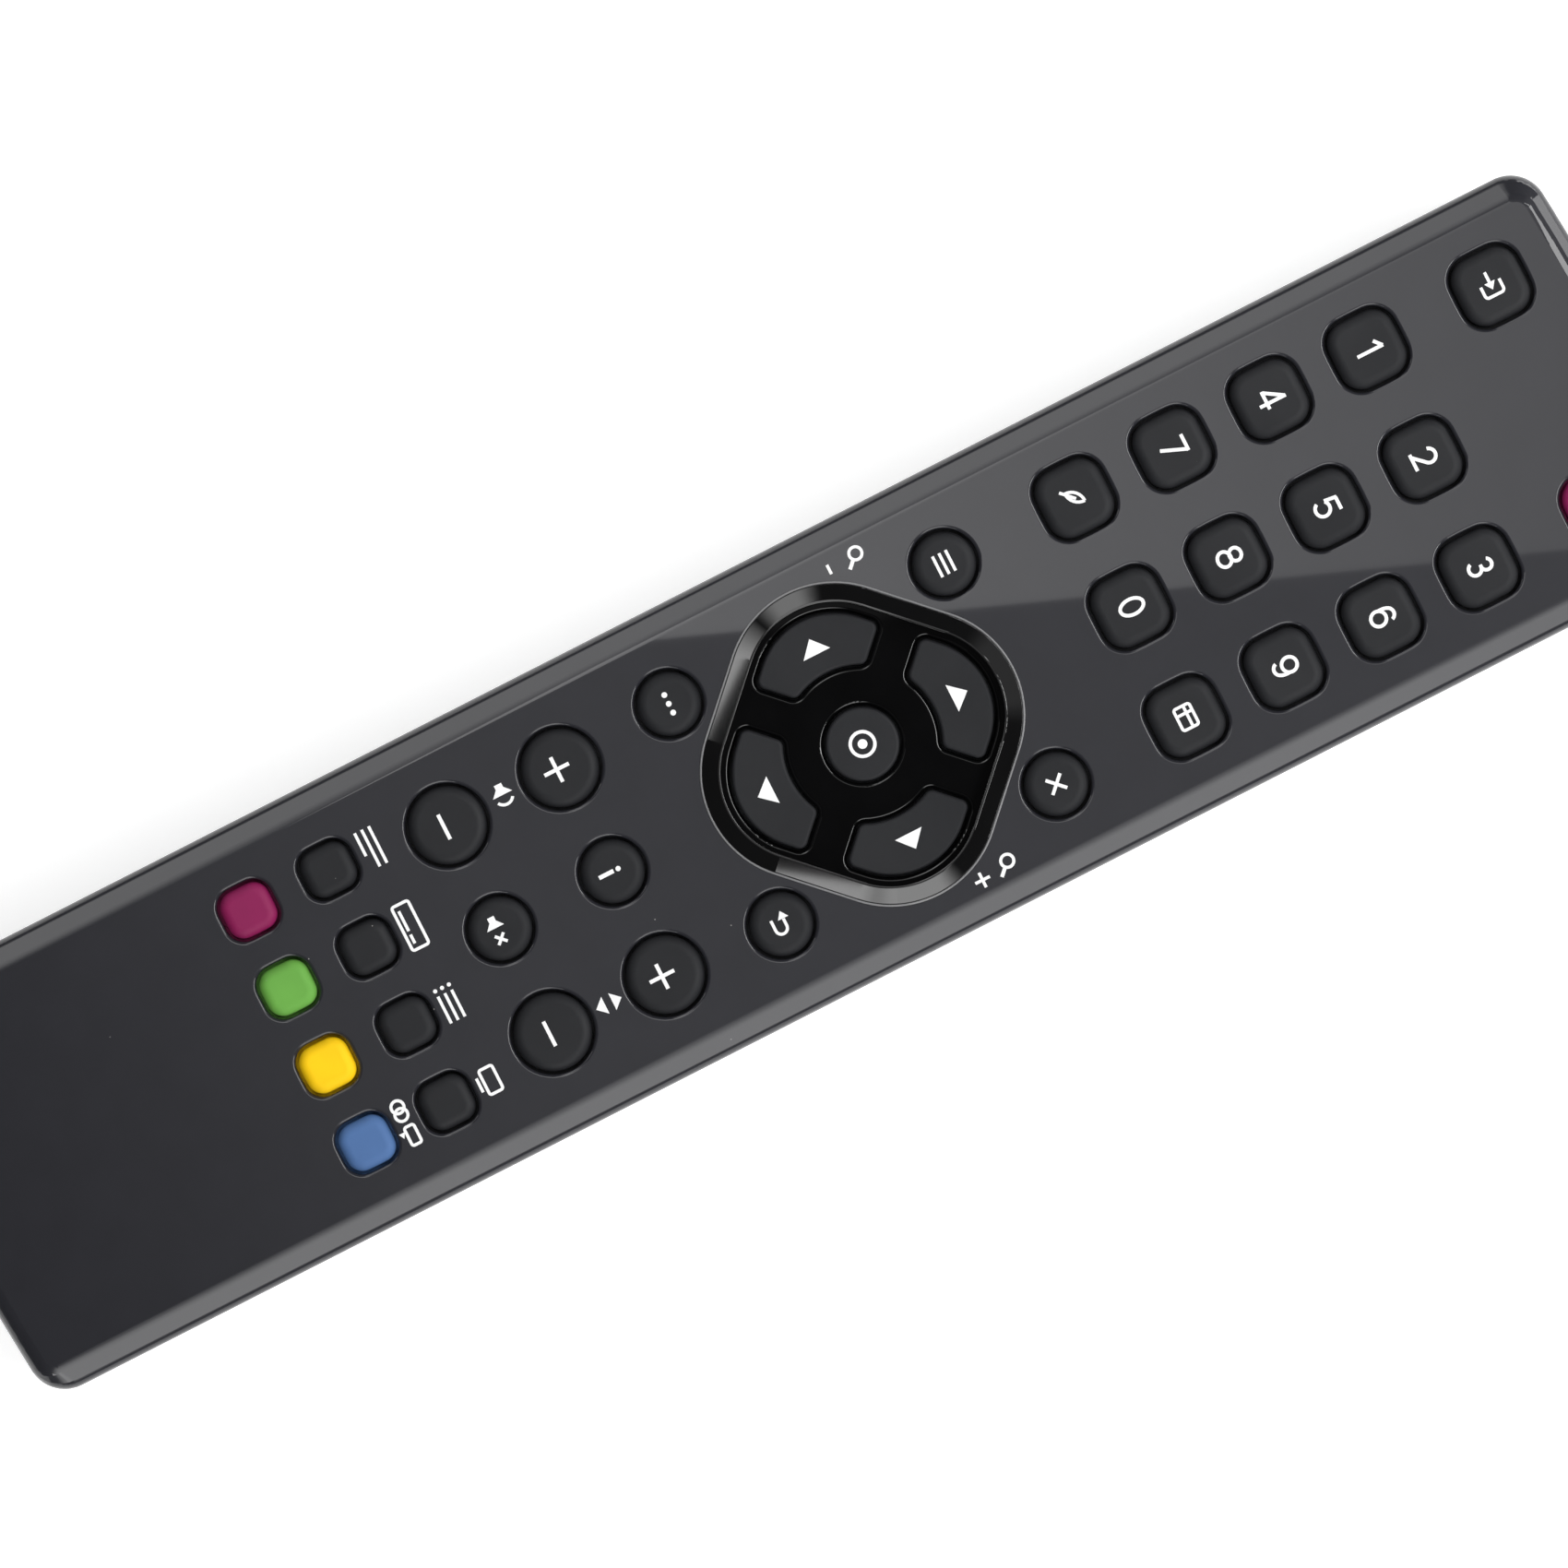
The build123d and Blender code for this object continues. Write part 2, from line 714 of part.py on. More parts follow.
with BuildPart() as nav_bezel:
    with BuildSketch(ring_plane(front_underside)):
        add(plate_outline)
    extrude(amount=front_wall)
    with BuildSketch(ring_plane(face_height)):
        add(rim_foot)
    extrude(amount=ring_foot_height)
    with BuildSketch(ring_plane(foot_top)):
        add(rim_foot)
    with BuildSketch(ring_plane(crest_height)):
        add(rim_top)
    loft(ruled=True)
    fillet(level_edges(nav_bezel, foot_top), ring_foot_radius)
    with BuildSketch(ring_plane(floor_height)):
        add(floor_outline)
    extrude(amount=crest_height - floor_height, mode=Mode.SUBTRACT)
    fillet(level_edges(nav_bezel, crest_height), ring_crest_radius)
    for turn in arrow_turns.values():
        with BuildSketch(ring_plane(front_underside, turn)):
            add(arrow_opening)
        extrude(amount=floor_height - front_underside, mode=Mode.SUBTRACT)
    with BuildSketch(ring_plane(front_underside)):
        Circle(confirm_radius)
    extrude(amount=floor_height - front_underside, mode=Mode.SUBTRACT)
    floor_faces = nav_bezel.faces().filter_by(Axis.Z).filter_by_position(
        Axis.Z, floor_height - level_play, floor_height + level_play
    )
    rims = floor_faces.sort_by(SortBy.AREA)[-1].inner_wires()
    fillet([edge for rim in rims for edge in rim.edges()], ring_opening_radius)
finish("nav_bezel", nav_bezel.part)


def key_body(name, plane, cap, flange, edge_radius, plunger):
    """A key: its cap and flange on a plunger, with the carbon pill bonded under the plunger."""
    with BuildPart() as key:
        with BuildSketch(plane.offset(flange_bottom)):
            add(flange)
        extrude(amount=flange_thickness)
        with BuildSketch(plane.offset(flange_bottom)):
            add(cap)
        extrude(amount=key_top - flange_bottom)
        fillet(key.faces().sort_by(Axis.Z)[-1].edges(), edge_radius)
        with BuildSketch(plane.offset(pill_top + pill_bond)):
            with Locations(plunger):
                Circle(plunger_radius)
        extrude(amount=flange_bottom - pill_top - pill_bond)
        with BuildSketch(plane.offset(pill_bottom)):
            with Locations(plunger):
                Circle(pill_radius)
        extrude(amount=pill_thickness)
    finish(name, key.part)


for places, outline in key_groups:
    cap = outline(-key_gap)
    flange = outline(flange_lip - key_gap)
    for name, (x, y) in places.items():
        key_body(name, Plane((x, y, 0)), cap, flange, key_edge_radius, (0, 0))

arrow_cap = arrow_outline(-ring_key_gap)
arrow_flange = arrow_outline(flange_lip - ring_key_gap)
arrow_plunger = (0, arrow_plunger_distance)
for name, turn in arrow_turns.items():
    key_body(
        name, ring_plane(0, turn), arrow_cap, arrow_flange, ring_key_edge_radius, arrow_plunger
    )

confirm_outline = round_outline(confirm_radius)
confirm_cap = confirm_outline(-ring_key_gap)
confirm_flange = confirm_outline(flange_lip - ring_key_gap)
key_body("key_ok", ring_plane(0), confirm_cap, confirm_flange, ring_key_edge_radius, (0, 0))


# Circuit board
led_notch = 2 * (led_flange_radius + led_notch_gap)


def board_outline(inset):
    """The board's outline with the notch for the LED, drawn in evenly."""
    with BuildSketch() as outline:
        with Locations((0, (board_north + board_south) / 2)):
            RectangleRounded(
                2 * (board_half_width - inset),
                board_north - board_south - 2 * inset,
                board_corner_radius,
            )
        with Locations((0, led_base_y - led_notch_gap)):
            Rectangle(
                led_notch,
                casing_length,
                align=(Align.CENTER, Align.MIN),
                mode=Mode.SUBTRACT,
            )
    return outline.sketch


board_shape = board_outline(0)
mat_shape = board_outline(mat_edge_gap)

with BuildPart() as circuit_board:
    with BuildSketch(Plane.XY.offset(board_bottom)):
        add(board_shape)
        with Locations(*pinned_posts):
            Circle(pin_radius + pin_play, mode=Mode.SUBTRACT)
        with Locations(*lead_places):
            Circle(lead_hole_radius, mode=Mode.SUBTRACT)
        with Locations(*strip_places):
            Rectangle(
                tab_strip_width + 2 * slot_play,
                plate_thickness + 2 * slot_play,
                mode=Mode.SUBTRACT,
            )
    extrude(amount=board_thickness)
finish("circuit_board", circuit_board.part)


# Silicone mat, with a collar round each plunger
mat_hole_radius = plunger_radius + mat_hole_gap

with BuildPart() as keymat:
    with BuildSketch(Plane.XY.offset(board_top)):
        add(mat_shape)
    extrude(amount=mat_thickness)
    with BuildSketch(Plane.XY.offset(mat_top)):
        with Locations(*plunger_places):
            Circle(mat_hole_radius + collar_width)
    extrude(amount=collar_height)
    with BuildSketch(Plane.XY.offset(board_top)):
        with Locations(*plunger_places):
            Circle(mat_hole_radius)
        with Locations(*pinned_posts, *bare_posts):
            Circle(post_radius + slot_play)
    extrude(amount=mat_thickness + collar_height, mode=Mode.SUBTRACT)
finish("keymat", keymat.part)


# Infrared window: a bowed plate in the end wall with a flange above and below inside
window_inner = casing_outline(wall + fit)
window_flange_inner = casing_outline(wall + fit + window_flange_thickness)

with BuildPart() as ir_window:
    with BuildSketch(Plane.XY.offset(window_bottom)):
        add(full_outline)
        add(window_flange_inner, mode=Mode.SUBTRACT)
        with Locations((0, half_length)):
            Rectangle(window_width, 4 * wall, mode=Mode.INTERSECT)
    extrude(amount=window_top - window_bottom)
    with BuildSketch(Plane.XY.offset(window_bottom - window_flange)):
        add(window_inner)
        add(window_flange_inner, mode=Mode.SUBTRACT)
        with Locations((0, half_length)):
            Rectangle(window_width, 4 * wall, mode=Mode.INTERSECT)
    extrude(amount=window_top - window_bottom + 2 * window_flange)
finish("ir_window", ir_window.part)


# Infrared LED: a domed body looking out of the window, its leads bent up into the board
with BuildPart() as ir_led:
    with BuildSketch(Plane((0, 0, led_height), x_dir=(1, 0, 0), z_dir=(0, 0, 1))):
        with BuildLine():
            Polyline(
                (0, led_base_y),
                (led_flange_radius, led_base_y),
                (led_flange_radius, led_base_y + led_flange_thickness),
                (led_radius, led_base_y + led_flange_thickness),
                (led_radius, led_base_y + led_length - led_radius),
            )
            RadiusArc(
                (led_radius, led_base_y + led_length - led_radius),
                (0, led_base_y + led_length),
                -led_radius,
            )
            Line((0, led_base_y + led_length), (0, led_base_y))
        make_face()
    revolve(axis=Axis((0, 0, led_height), (0, 1, 0)))
    for lead_x, lead_y in led_leads:
        bend = 4 * lead_radius
        with BuildLine() as lead:
            Line((lead_x, led_base_y + lead_cover, led_height), (lead_x, lead_y + bend, led_height))
            Line((lead_x, lead_y, led_height + bend), (lead_x, lead_y, lead_top))
            TangentArc(
                (lead_x, lead_y + bend, led_height),
                (lead_x, lead_y, led_height + bend),
                tangent=(0, -1, 0),
            )
        with BuildSketch(Plane((lead_x, led_base_y + lead_cover, led_height), z_dir=(0, -1, 0))):
            Circle(lead_radius)
        sweep(path=lead.wires()[0])
finish("ir_led", ir_led.part)


# Controller chip, under the board on its legs
chip_top = board_bottom - component_gap - chip_leg_thickness
chip_leg_rise = chip_thickness / 2 + chip_leg_thickness

with BuildPart() as controller_chip:
    with BuildSketch(Plane.XY.offset(chip_top - chip_thickness)):
        with Locations(chip_place):
            Rectangle(chip_width, chip_length)
    extrude(amount=chip_thickness)
    for spread, length, height in (
        (chip_width + chip_leg_reach, chip_leg_reach, chip_leg_thickness),
        (chip_width + 2 * chip_leg_reach, chip_leg_thickness, chip_leg_rise),
    ):
        with BuildSketch(Plane.XY.offset(chip_top - chip_thickness / 2)):
            with Locations(chip_place):
                with GridLocations(spread, chip_leg_pitch, 2, chip_legs_per_side):
                    Rectangle(length, chip_leg_width)
        extrude(amount=height)
finish("controller_chip", controller_chip.part)


def stand_on_leads(places, foot):
    """Straight leads from inside a part up into the board, in the piece being built."""
    with BuildPart(mode=Mode.PRIVATE) as leads:
        with BuildSketch(Plane.XY.offset(foot)):
            with Locations(*places):
                Circle(lead_radius)
        extrude(amount=lead_top - foot)
    return leads.part


# Ceramic resonator
resonator_top = board_bottom - component_gap
resonator_pins = stand_on_leads(resonator_leads, resonator_top - resonator_height / 2)

with BuildPart() as resonator:
    with BuildSketch(Plane.XY.offset(resonator_top - resonator_height)):
        with Locations(resonator_place):
            SlotOverall(resonator_width, resonator_depth)
    extrude(amount=resonator_height)
    fillet(resonator.faces().sort_by(Axis.Z)[0].edges(), lead_radius)
    add(resonator_pins)
finish("resonator", resonator.part)


# Electrolytic capacitor
capacitor_top = board_bottom - component_gap
capacitor_pins = stand_on_leads(capacitor_leads, capacitor_top - capacitor_length / 2)

with BuildPart() as capacitor:
    with BuildSketch(Plane.XY.offset(capacitor_top - capacitor_length)):
        with Locations(capacitor_place):
            Circle(capacitor_radius)
    extrude(amount=capacitor_length)
    fillet(capacitor.faces().sort_by(Axis.Z)[0].edges(), lead_radius)
    add(capacitor_pins)
finish("capacitor", capacitor.part)


# Transistor that drives the LED: a round body with one flat side, on three leads
transistor_top = board_bottom - transistor_stand
transistor_pins = stand_on_leads(transistor_leads, transistor_top - transistor_height / 2)

with BuildPart() as led_transistor:
    with BuildSketch(Plane.XY.offset(transistor_top - transistor_height)):
        with Locations(transistor_place):
            Circle(transistor_radius)
        with Locations((transistor_place[0], transistor_place[1] - transistor_flat)):
            Rectangle(
                4 * transistor_radius,
                4 * transistor_radius,
                align=(Align.CENTER, Align.MIN),
                mode=Mode.INTERSECT,
            )
    extrude(amount=transistor_height)
    add(transistor_pins)
finish("led_transistor", led_transistor.part)


def cell_body(name, x, nub_y, direction):
    """An AAA cell along Y with its nub at nub_y, pointing in the direction given."""
    rim = cell_radius - cell_edge
    shoulder_y = nub_y - direction * nub_height
    base_y = nub_y - direction * cell_length
    with BuildPart() as cell:
        with BuildSketch(Plane((x, 0, cell_height))):
            with BuildLine():
                Polyline(
                    (0, nub_y),
                    (nub_diameter / 2, nub_y),
                    (nub_diameter / 2, shoulder_y),
                    (rim, shoulder_y),
                    (cell_radius, shoulder_y - direction * cell_edge),
                    (cell_radius, base_y + direction * cell_edge),
                    (rim, base_y),
                    (0, base_y),
                    close=True,
                )
            make_face()
        revolve(axis=Axis((x, 0, cell_height), (0, 1, 0)))
    finish(name, cell.part)


cell_body("battery_left", -cell_pitch / 2, bay_north - nub_space, 1)
cell_body("battery_right", cell_pitch / 2, bay_south + nub_space, -1)


def spring_coil(x, face_y, direction):
    """A conical spring that stands off a contact plate: half turns, each a level-ended arc."""
    rise = spring_height - spring_wire / 2
    step = rise / spring_half_turns
    taper = (spring_base_radius - spring_tip_radius) / spring_half_turns
    corners = []
    for turn in range(spring_half_turns + 1):
        reach = spring_base_radius - taper * turn
        side = 1 if turn % 2 else -1
        corners.append(Vector(x + side * reach, face_y + direction * step * turn, cell_height))
    with BuildPart() as coil:
        with BuildLine() as path:
            for turn in range(spring_half_turns):
                start = corners[turn]
                end = corners[turn + 1]
                radius = (end - start).length / 2
                over = -1 if turn % 2 else 1
                crest = (start + end) * 0.5 + Vector(0, 0, over * radius)
                ThreePointArc(start, crest, end)
        with BuildSketch(Plane(corners[0], z_dir=(0, 0, 1))):
            Circle(spring_wire / 2)
        sweep(path=path.wires()[0])
    return coil.part


def plate_strip(plate_x):
    """The strip from a contact plate up through the bay's roof into the board."""
    with BuildPart() as strip:
        with BuildSketch(Plane.XY.offset(cell_height)):
            with Locations((plate_x, strip_y)):
                Rectangle(tab_strip_width, plate_thickness)
        extrude(amount=strip_top - cell_height)
    return strip.part


north_plate_y = bay_north - contact_gap - plate_thickness
south_plate_y = bay_south + contact_gap + plate_thickness
positive_strip = plate_strip(-cell_pitch / 2)
negative_strip = plate_strip(cell_pitch / 2)
negative_coil = spring_coil(cell_pitch / 2, north_plate_y, -1)
bridge_coil = spring_coil(-cell_pitch / 2, south_plate_y, 1)

with BuildPart() as positive_contact:
    with BuildSketch(Plane.XZ.offset(-north_plate_y - plate_thickness)):
        with Locations((-cell_pitch / 2, cell_height)):
            Rectangle(plate_side, plate_side)
    extrude(amount=plate_thickness)
    add(positive_strip)
finish("positive_contact", positive_contact.part)

with BuildPart() as negative_contact:
    with BuildSketch(Plane.XZ.offset(-north_plate_y - plate_thickness)):
        with Locations((cell_pitch / 2, cell_height)):
            Rectangle(plate_side, plate_side)
    extrude(amount=plate_thickness)
    add(negative_strip)
    add(negative_coil)
finish("negative_contact", negative_contact.part)

with BuildPart() as bridge_contact:
    with BuildSketch(Plane.XZ.offset(-south_plate_y)):
        with Locations((0, cell_height)):
            Rectangle(cell_pitch + plate_side, plate_side)
    extrude(amount=plate_thickness)
    add(bridge_coil)
finish("bridge_contact", bridge_contact.part)


# Case screws, from under the deck into the upper casing's posts
with BuildPart() as case_screws:
    with BuildSketch(Plane.XY.offset(deck_height - screw_head_height)):
        with Locations(*screw_places):
            Circle(screw_head_radius)
    extrude(amount=screw_head_height)
    with BuildSketch(Plane.XY.offset(deck_height)):
        with Locations(*screw_places):
            Circle(screw_radius)
    extrude(amount=screw_length)
    with BuildSketch(Plane.XY.offset(deck_height - screw_head_height)):
        with Locations(*screw_places):
            Rectangle(screw_head_radius, screw_slot_width)
            Rectangle(screw_slot_width, screw_head_radius)
    extrude(amount=screw_slot_depth, mode=Mode.SUBTRACT)
finish("case_screws", case_screws.part)
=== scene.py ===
"""Dresses the infrared remote control: its finishes, its printed signs and a plain studio."""
import json
from math import atan2, cos, pi, radians, sin

import bpy
from bpy.props import FloatProperty, FloatVectorProperty, PointerProperty
from mathutils import Matrix, Vector

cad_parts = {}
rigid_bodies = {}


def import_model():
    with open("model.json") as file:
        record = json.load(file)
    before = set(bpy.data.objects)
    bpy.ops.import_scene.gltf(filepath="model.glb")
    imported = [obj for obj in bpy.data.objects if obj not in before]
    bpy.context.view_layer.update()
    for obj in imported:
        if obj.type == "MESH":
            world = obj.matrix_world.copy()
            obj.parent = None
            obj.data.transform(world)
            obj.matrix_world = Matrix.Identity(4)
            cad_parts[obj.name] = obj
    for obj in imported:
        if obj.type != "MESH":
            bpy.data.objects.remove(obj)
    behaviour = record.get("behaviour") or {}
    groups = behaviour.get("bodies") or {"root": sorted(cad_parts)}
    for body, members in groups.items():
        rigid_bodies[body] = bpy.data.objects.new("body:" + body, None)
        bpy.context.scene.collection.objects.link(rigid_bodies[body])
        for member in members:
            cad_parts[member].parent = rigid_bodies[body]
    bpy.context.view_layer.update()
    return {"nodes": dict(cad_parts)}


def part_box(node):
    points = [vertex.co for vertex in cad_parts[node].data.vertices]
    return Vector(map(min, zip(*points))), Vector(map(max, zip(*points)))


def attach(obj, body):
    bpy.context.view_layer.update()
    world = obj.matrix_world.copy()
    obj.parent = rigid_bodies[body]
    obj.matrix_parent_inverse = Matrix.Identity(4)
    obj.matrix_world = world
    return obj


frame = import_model()

bl_info = {
    "name": "Remote control dressing",
    "version": (1, 0, 0),
    "blender": (4, 5, 0),
    "location": "View3D > Sidebar > Remote",
    "description": "Finishes, printed signs and a plain studio for an infrared remote control",
    "category": "Object",
}

MM = 0.001
NODES = frame["nodes"]
COLOUR_KEYS = ("magenta", "green", "yellow", "blue")


def middle(node):
    """The middle of a node's box, seen from the front, and the height of its top."""
    low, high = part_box(node)
    return Vector(((low.x + high.x) / 2, (low.y + high.y) / 2, high.z))


RING_MIDDLE = middle("nav_bezel")
FACE_HEIGHT = middle("upper_casing").z

# Sizes in millimetres
RING_HALF_SIDE = 17.5
RING_CORNER = 12.4
RING_FOOT = 0.25
RING_RISE, RING_RUN = 1.05, 1.9
SIGN_MERGE = 0.002
DIGIT_DRAWN, DIGIT_RAISE = 3.2, 0.2
SIGN_STROKE = 0.36
ROCKER_STROKE, ROCKER_SIGN = 0.45, 3.2
ROCKER_SIGN_DROP = 0.4
SIGN_OVER_DARK_KEY, SIGN_OVER_BLUE_KEY = 5.6, 5.1
TRACK_WIDTH, TRACK_PAD, TRACK_HEIGHT = 0.9, 1.5, 0.035
COVER_ARROW_WIDTH, COVER_ARROW_LENGTH, COVER_ARROW_HEIGHT = 5.0, 3.4, 0.03
COVER_ARROW_INSET = 25.0
CELL_BARE_RADIUS = 4.25
CELL_BAND_END = 12.95
CELL_LINE_PLACE, CELL_LINE_HALF = 13.6, 0.35
CELL_PLUS_PLACE, CELL_MINUS_PLACE = 7.0, 38.0
CELL_MARK_HALF_STROKE, CELL_MARK_HALF_LENGTH = 0.3, 1.4
CELL_MASK_EDGE = 0.05
FLOOR_DROP = 0.05

# Corners of a drawn oval and dot, and degrees from one corner to the next along a turn
OVAL_POINTS, DISC_POINTS, TURN_STEP = 40, 24, 12

# Colours of the cells and of dust
WRAP_GREY = (0.3, 0.31, 0.33, 1.0)
WRAP_BAND = (0.05, 0.055, 0.062, 1.0)
WRAP_LINE = (0.6, 0.6, 0.6, 1.0)
WRAP_MARK = (0.8, 0.8, 0.8, 1.0)
CELL_STEEL = (0.62, 0.6, 0.56, 1.0)
DUST = (0.32, 0.31, 0.3, 1.0)
WHITE = (1, 1, 1, 1)

# The studio, in metres
FLOOR_SIZE = 8
KEY_LAMP = {"place": (0.14, 0.4, 0.5), "across": 0.55, "up": 0.2}
END_LAMP = {"place": (0, 0.75, 0.06), "across": 1.6, "up": 0.14}
CARD_HEIGHT, CARD_WIDTH, CARD_LONG = 0.5, 0.2, 0.34
WEDGE_REACH, WEDGE_LONG, WEDGE_WIDE, WEDGE_PAST = 0.5, 0.2, 0.1, 0.004

# The mirrored edge of the card, seen from the ring's middle, and the sensor, in millimetres
CARD_EDGE = ((-22.4, -17.1), (17.2, 84.1))
SENSOR = 36

# Where the room's soft lights fade, in degrees aside and along the axes of a sight line
GLOW_EDGE = 8
GLOW_OUT, GLOW_UP = (0.05, 0.85), (0.2, 0.46)
CEILING_ALONG, CEILING_UP = (-0.115, -0.03), (0.85, 0.96)


def colour(name, description, red, green, blue):
    """A colour that the user may change."""
    return FloatVectorProperty(
        name=name,
        description=description,
        subtype="COLOR",
        size=3,
        min=0,
        max=1,
        default=(red, green, blue),
    )


def share(name, description, default):
    """A share from 0 to 1 that the user may change."""
    return FloatProperty(
        name=name, description=description, subtype="FACTOR", min=0, max=1, default=default
    )


def length(name, description, millimetres):
    """A length that the user may change."""
    return FloatProperty(
        name=name,
        description=description,
        unit="LENGTH",
        min=0,
        default=millimetres * MM,
        precision=5,
    )


def strength(name, description, default):
    """The radiance of a lamp, where 1 is white, that the user may change."""
    return FloatProperty(name=name, description=description, min=0, default=default)


class CasingFinish(bpy.types.PropertyGroup):
    """Finish of the moulded casing, the ring and the infrared window"""

    face: colour("Face", "Colour of the front shell", 0.0195, 0.0198, 0.0245)
    back: colour("Back", "Colour of the back shell and the battery cover", 0.036, 0.036, 0.04)
    ring: colour("Ring", "Colour of the polished navigation ring", 0.0022, 0.0022, 0.0024)
    # The bead's light grey is a painted highlight line round the ring's foot
    bead: colour("Bead", "Colour of the bead round the ring", 0.2, 0.2, 0.205)
    highlight_bead_width: length("Bead width", "Width of the bead round the ring", 0.26)
    highlight_bead_height: length("Bead height", "Height of the bead round the ring", 0.16)
    floor_polish: share("Ring floor gloss", "Gloss of the ring's floor against its rim", 0.05)
    window: colour("Window", "Colour of the infrared window", 0.014, 0.003, 0.005)
    face_roughness: share("Face roughness", "Roughness under the face's gloss coat", 0.42)
    face_coat: share("Face gloss", "Weight of the face's gloss coat", 0.9)
    grain: length("Grain", "Size of the moulded grain", 0.35)


class KeyFinish(bpy.types.PropertyGroup):
    """Finish of the rubber keys"""

    dark: colour("Dark keys", "Colour of the dark rubber", 0.0122, 0.0128, 0.015)
    magenta: colour("Magenta", "Colour of the magenta keys", 0.256, 0.0085, 0.086)
    green: colour("Green", "Colour of the green key", 0.142, 0.4, 0.063)
    yellow: colour("Yellow", "Colour of the yellow key", 1.0, 0.62, 0.001)
    blue: colour("Blue", "Colour of the blue key", 0.078, 0.168, 0.38)
    roughness: share("Roughness", "Roughness of the rubber", 0.58)


class PrintSizes(bpy.types.PropertyGroup):
    """Sizes of the printed signs"""

    ink: colour("Ink", "Colour of the printed signs", 0.95, 0.95, 0.95)
    film: length("Film", "How far the ink stands proud", 0.02)
    digit_height: length("Digit height", "Height of the digits", 3.35)
    digit_stroke: length("Digit stroke", "Width of the digits' strokes", 0.42)
    arrow_width: length("Arrow width", "Width of the arrows in the ring", 3.5)
    arrow_height: length("Arrow height", "Height of the arrows in the ring", 2.0)
    arrow_distance: length("Arrow distance", "From the ring's middle to the arrows' middle", 12.45)


class StudioSettings(bpy.types.PropertyGroup):
    """The camera, the floor and the lamps"""

    view_width: length("View width", "Width of the picture at the face", 183.8)
    view_turn: FloatProperty(
        name="View turn", description="Turn of the picture", subtype="ANGLE", default=radians(63)
    )
    view_shift: length("View shift", "How far the picture's middle lies below the casing's", 0.48)
    lens: FloatProperty(
        name="Lens", description="Focal length", subtype="DISTANCE_CAMERA", default=200
    )
    floor: colour("Floor", "Colour of the floor", 0.93, 0.93, 0.93)
    floor_fill: share("Floor fill", "Brightness added to the floor as the camera sees it", 0.5)
    room: strength("Room", "Even light of the room", 0.06)
    ceiling: strength("Ceiling", "Dim light straight above", 0.42)
    wedge_light: strength("Wedges", "Radiance of the ring's cards", 4.8)
    left_glow: strength("Left wall", "Soft light beyond the left side", 2.4)
    right_glow: strength("Right wall", "Soft light beyond the right side", 3.5)
    end_glow: strength("End wall", "Soft light beyond the window end", 0.3)
    key_light: strength("Key lamp", "Radiance of the key lamp", 7.6)
    end_light: strength("End lamp", "Radiance of the low lamp", 4.0)
    card_near: strength("Card near", "Card's radiance at its lower end", 2.7)
    card_far: strength("Card far", "Card's radiance at its upper end", 0.3)


def new_tree(owner):
    """The emptied node tree of a material or the world."""
    owner.use_nodes = True
    owner.node_tree.nodes.clear()
    return owner.node_tree


def add_node(tree, kind, inputs=None, **settings):
    """A node with its settings, and its inputs set to values or linked to other outputs."""
    node = tree.nodes.new("ShaderNode" + kind)
    for key, value in settings.items():
        setattr(node, key, value)
    for key, value in (inputs or {}).items():
        if isinstance(value, bpy.types.NodeSocket):
            tree.links.new(value, node.inputs[key])
        else:
            node.inputs[key].default_value = value
    return node


def calc(tree, operation, *values):
    """The outcome of a Math node."""
    return add_node(tree, "Math", dict(enumerate(values)), operation=operation).outputs[0]


def ramp(tree, value, start, end, first=0.0, last=1.0, **settings):
    """A change from one value to another between two places."""
    inputs = {"Value": value, 1: start, 2: end, 3: first, 4: last}
    return add_node(tree, "MapRange", inputs, **settings).outputs[0]


def blend(tree, mask, under, over):
    """One colour laid over another by a mask."""
    return add_node(tree, "Mix", {"Factor": mask, 6: under, 7: over}, data_type="RGBA").outputs[2]


def split(tree, vector):
    """The X, Y and Z of a vector."""
    return add_node(tree, "SeparateXYZ", {0: vector}).outputs


def object_place(tree):
    """The place on the piece itself, in metres."""
    return add_node(tree, "TexCoord").outputs["Object"]


def finish_tree(tree, kind, socket):
    """Leads a shader to the tree's output."""
    out = add_node(tree, "Output" + kind)
    tree.links.new(socket, out.inputs["Surface"])


def nodes_of(tree, kind):
    """The nodes of one kind in a material."""
    return [node for node in tree.nodes if node.bl_idname == "ShaderNode" + kind]


def new_group(name, inputs, outputs):
    """A shader group, what it is given and what is wanted from it."""
    group = bpy.data.node_groups.new(name, "ShaderNodeTree")
    kinds = {"value": "NodeSocketFloat", "colour": "NodeSocketColor", "vector": "NodeSocketVector"}
    for label, kind in inputs:
        group.interface.new_socket(label, in_out="INPUT", socket_type=kinds[kind])
    for label, kind in outputs:
        group.interface.new_socket(label, in_out="OUTPUT", socket_type=kinds[kind])
    inlet, outlet = group.nodes.new("NodeGroupInput"), group.nodes.new("NodeGroupOutput")
    return group, inlet.outputs, outlet.inputs


def mottle_group():
    """A colour that a soft noise makes a little lighter and darker."""
    group, given, wanted = new_group(
        "Mottled colour",
        [("Colour", "colour"), ("Vector", "vector"), ("Scale", "value"), ("Spread", "value")],
        [("Colour", "colour")],
    )
    noise = add_node(
        group, "TexNoise", {"Vector": given["Vector"], "Scale": given["Scale"], "Detail": 4.0}
    )
    low = calc(group, "SUBTRACT", 1.0, given["Spread"])
    high = calc(group, "ADD", 1.0, given["Spread"])
    level = ramp(group, noise.outputs["Fac"], 0.3, 0.7, low, high)
    tint = add_node(group, "VectorMath", {0: given["Colour"], "Scale": level}, operation="SCALE")
    group.links.new(tint.outputs[0], wanted["Colour"])
    return group


